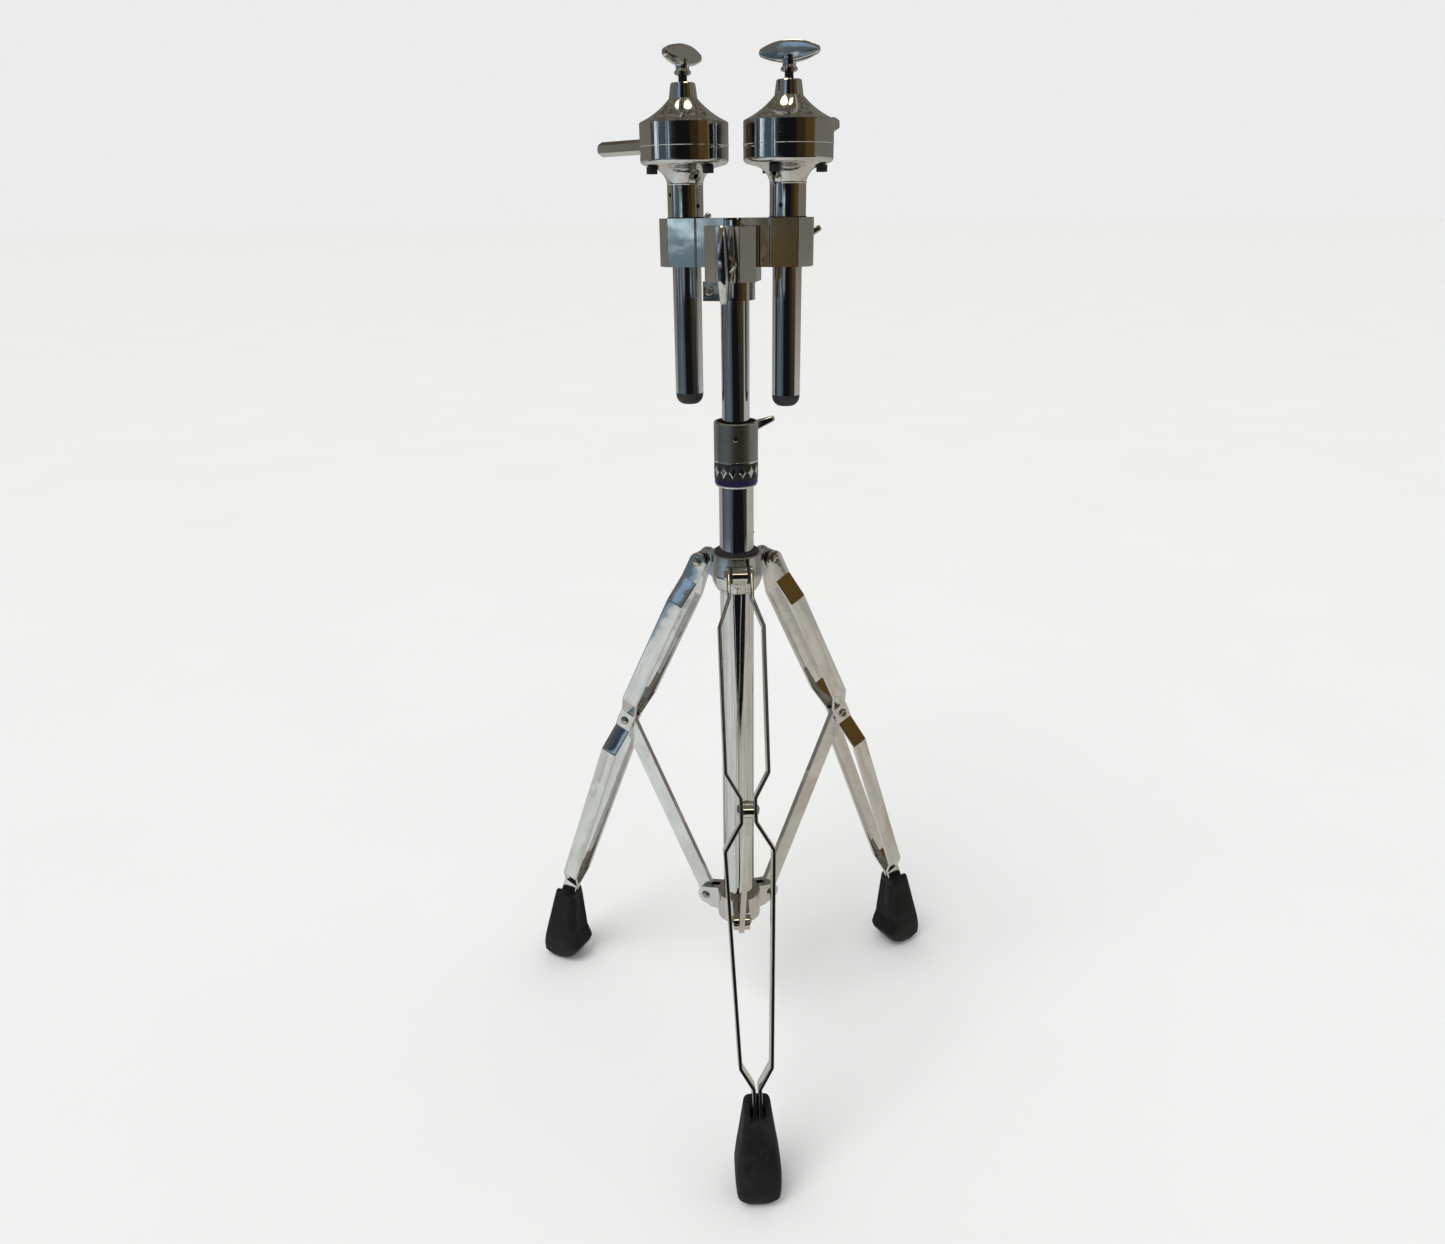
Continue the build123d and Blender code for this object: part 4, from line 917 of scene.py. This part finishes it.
    # a low shelf before the figure, blue at its left end and brown at its right
    shelf = g.ramp(
        around,
        [
            (0, 0.01),
            (compass(-40), (0.012, 0.014, 0.016)),
            (compass(-39), (0.17, 0.24, 0.28)),
            (compass(-25.6), (0.13, 0.19, 0.22)),
            (compass(-24.6), (0.19, 0.18, 0.16)),
            (compass(-23), (0.2, 0.185, 0.155)),
            (compass(-22.7), (0.085, 0.062, 0.024)),
            (compass(-18), (0.06, 0.042, 0.016)),
            (compass(-17), (0.01, 0.01, 0.01)),
            (1, 0.01),
        ],
    )
    shelf_edge = g.span(high, rise(-1.8), rise(-0.6))
    glint = g.maths("MULTIPLY", shelf_edge, g.span(around, compass(-24), compass(-25)))
    glint = g.maths("MULTIPLY", glint, g.span(mottle, 0.35, 0.6))
    shelf = g.mix(glint, shelf, (0.6, 0.78, 0.87, 1))
    shelf_top = g.maths("SUBTRACT", rise(0.9), high)
    from_middle = g.maths("ABSOLUTE", g.maths("SUBTRACT", around, compass(-28.5)))
    shelf_end = g.maths("SUBTRACT", 11.5 / 360, from_middle)
    on_shelf = g.maths("MULTIPLY", g.span(shelf_top, 0.0, 0.01), g.span(shelf_end, 0.0, 0.004))
    on_shelf = g.maths("MULTIPLY", on_shelf, g.span(high, rise(-4.4), rise(-4)))
    room = g.mix(on_shelf, room, shelf)

    lamps = [((-0.16, 0.24, 0.95), 0.16), ((0.17, 0.24, 0.95), 0.16), ((0.056, -0.807, 0.588), 0.07)]
    for lamp, radius in lamps:
        offset = g.add("ShaderNodeVectorMath", {0: direction, 1: lamp}, operation="DISTANCE")
        distance = g.maths("ADD", offset.outputs["Value"], g.maths("MULTIPLY", mottle, 0.12))
        glow = g.span(distance, radius, radius + 0.06, 1.0, 0.0)
        glow = g.maths("MULTIPLY", glow, g.maths("SUBTRACT", 1.0, bounced))
        room = g.mix(glow, room, (5.0, 4.3, 2.6, 1))
    return room


def make_world():
    """Metal mirrors the room; everything else is lit by an even pale dome."""
    world = bpy.data.worlds.new("room")
    SCENE.world = world
    world.use_nodes = True
    world.cycles.sampling_method = "NONE"
    g = Graph(world.node_tree)
    direction = g.add("ShaderNodeTexCoord").outputs["Generated"]
    kind = g.add("ShaderNodeLightPath").outputs
    dome = g.mix(kind["Is Camera Ray"], (0.76, 0.76, 0.76, 1), (0.835, 0.835, 0.833, 1))
    bounced = g.maths("GREATER_THAN", kind["Glossy Depth"], 1.5)
    shade = g.mix(kind["Is Glossy Ray"], dome, room_colours(g, direction, bounced))
    light = g.add("ShaderNodeBackground", {"Color": shade, "Strength": 1.0})
    output = g.add("ShaderNodeOutputWorld")
    g.tree.links.new(light.outputs[0], output.inputs["Surface"])


def ring_mesh(name, inner, outer, steps=128):
    """Flat ring round the origin, facing up."""
    mesh = bpy.data.meshes.new(name)
    build = bmesh.new()
    near = [build.verts.new(point) for point in circle(inner, 0, steps)]
    far = [build.verts.new(point) for point in circle(outer, 0, steps)]
    for k in range(steps):
        after = (k + 1) % steps
        build.faces.new((near[k], far[k], far[after], near[after]))
    build.to_mesh(mesh)
    build.free()
    return mesh


def make_floor():
    """Plain pale floor; the metal mirrors the room's own floor instead of this one."""

    def build(g, place):
        cloud = g.noise(place, 3.0, 3.0)
        shade = g.mix(cloud, (0.8, 0.8, 0.795, 1), (0.84, 0.84, 0.835, 1))
        normal = g.bump(g.noise(place, 700.0, 2.0), 0.00005)
        return {"Base Color": shade, "Roughness": 0.85, "Normal": normal}

    floor = bpy.data.objects.new("floor", ring_mesh("floor", 0.0001, 60.0))
    SCENE.collection.objects.link(floor)
    floor.data.materials.append(material("floor_pale", build))
    floor.location.z = -0.0002
    floor.visible_glossy = False


def make_lights():
    """One large soft source from the upper left front, kept out of the mirror images."""
    data = bpy.data.lights.new("key", "SUN")
    data.energy = 1.3
    data.angle = radians(35)
    light = bpy.data.objects.new("key", data)
    SCENE.collection.objects.link(light)
    light.rotation_mode = "QUATERNION"
    light.rotation_quaternion = Vector((0.5, 0.45, -1)).to_track_quat("-Z", "Y")
    light.visible_glossy = False


make_camera()
make_world()
make_floor()
make_lights()
SCENE.view_settings.view_transform = "Standard"
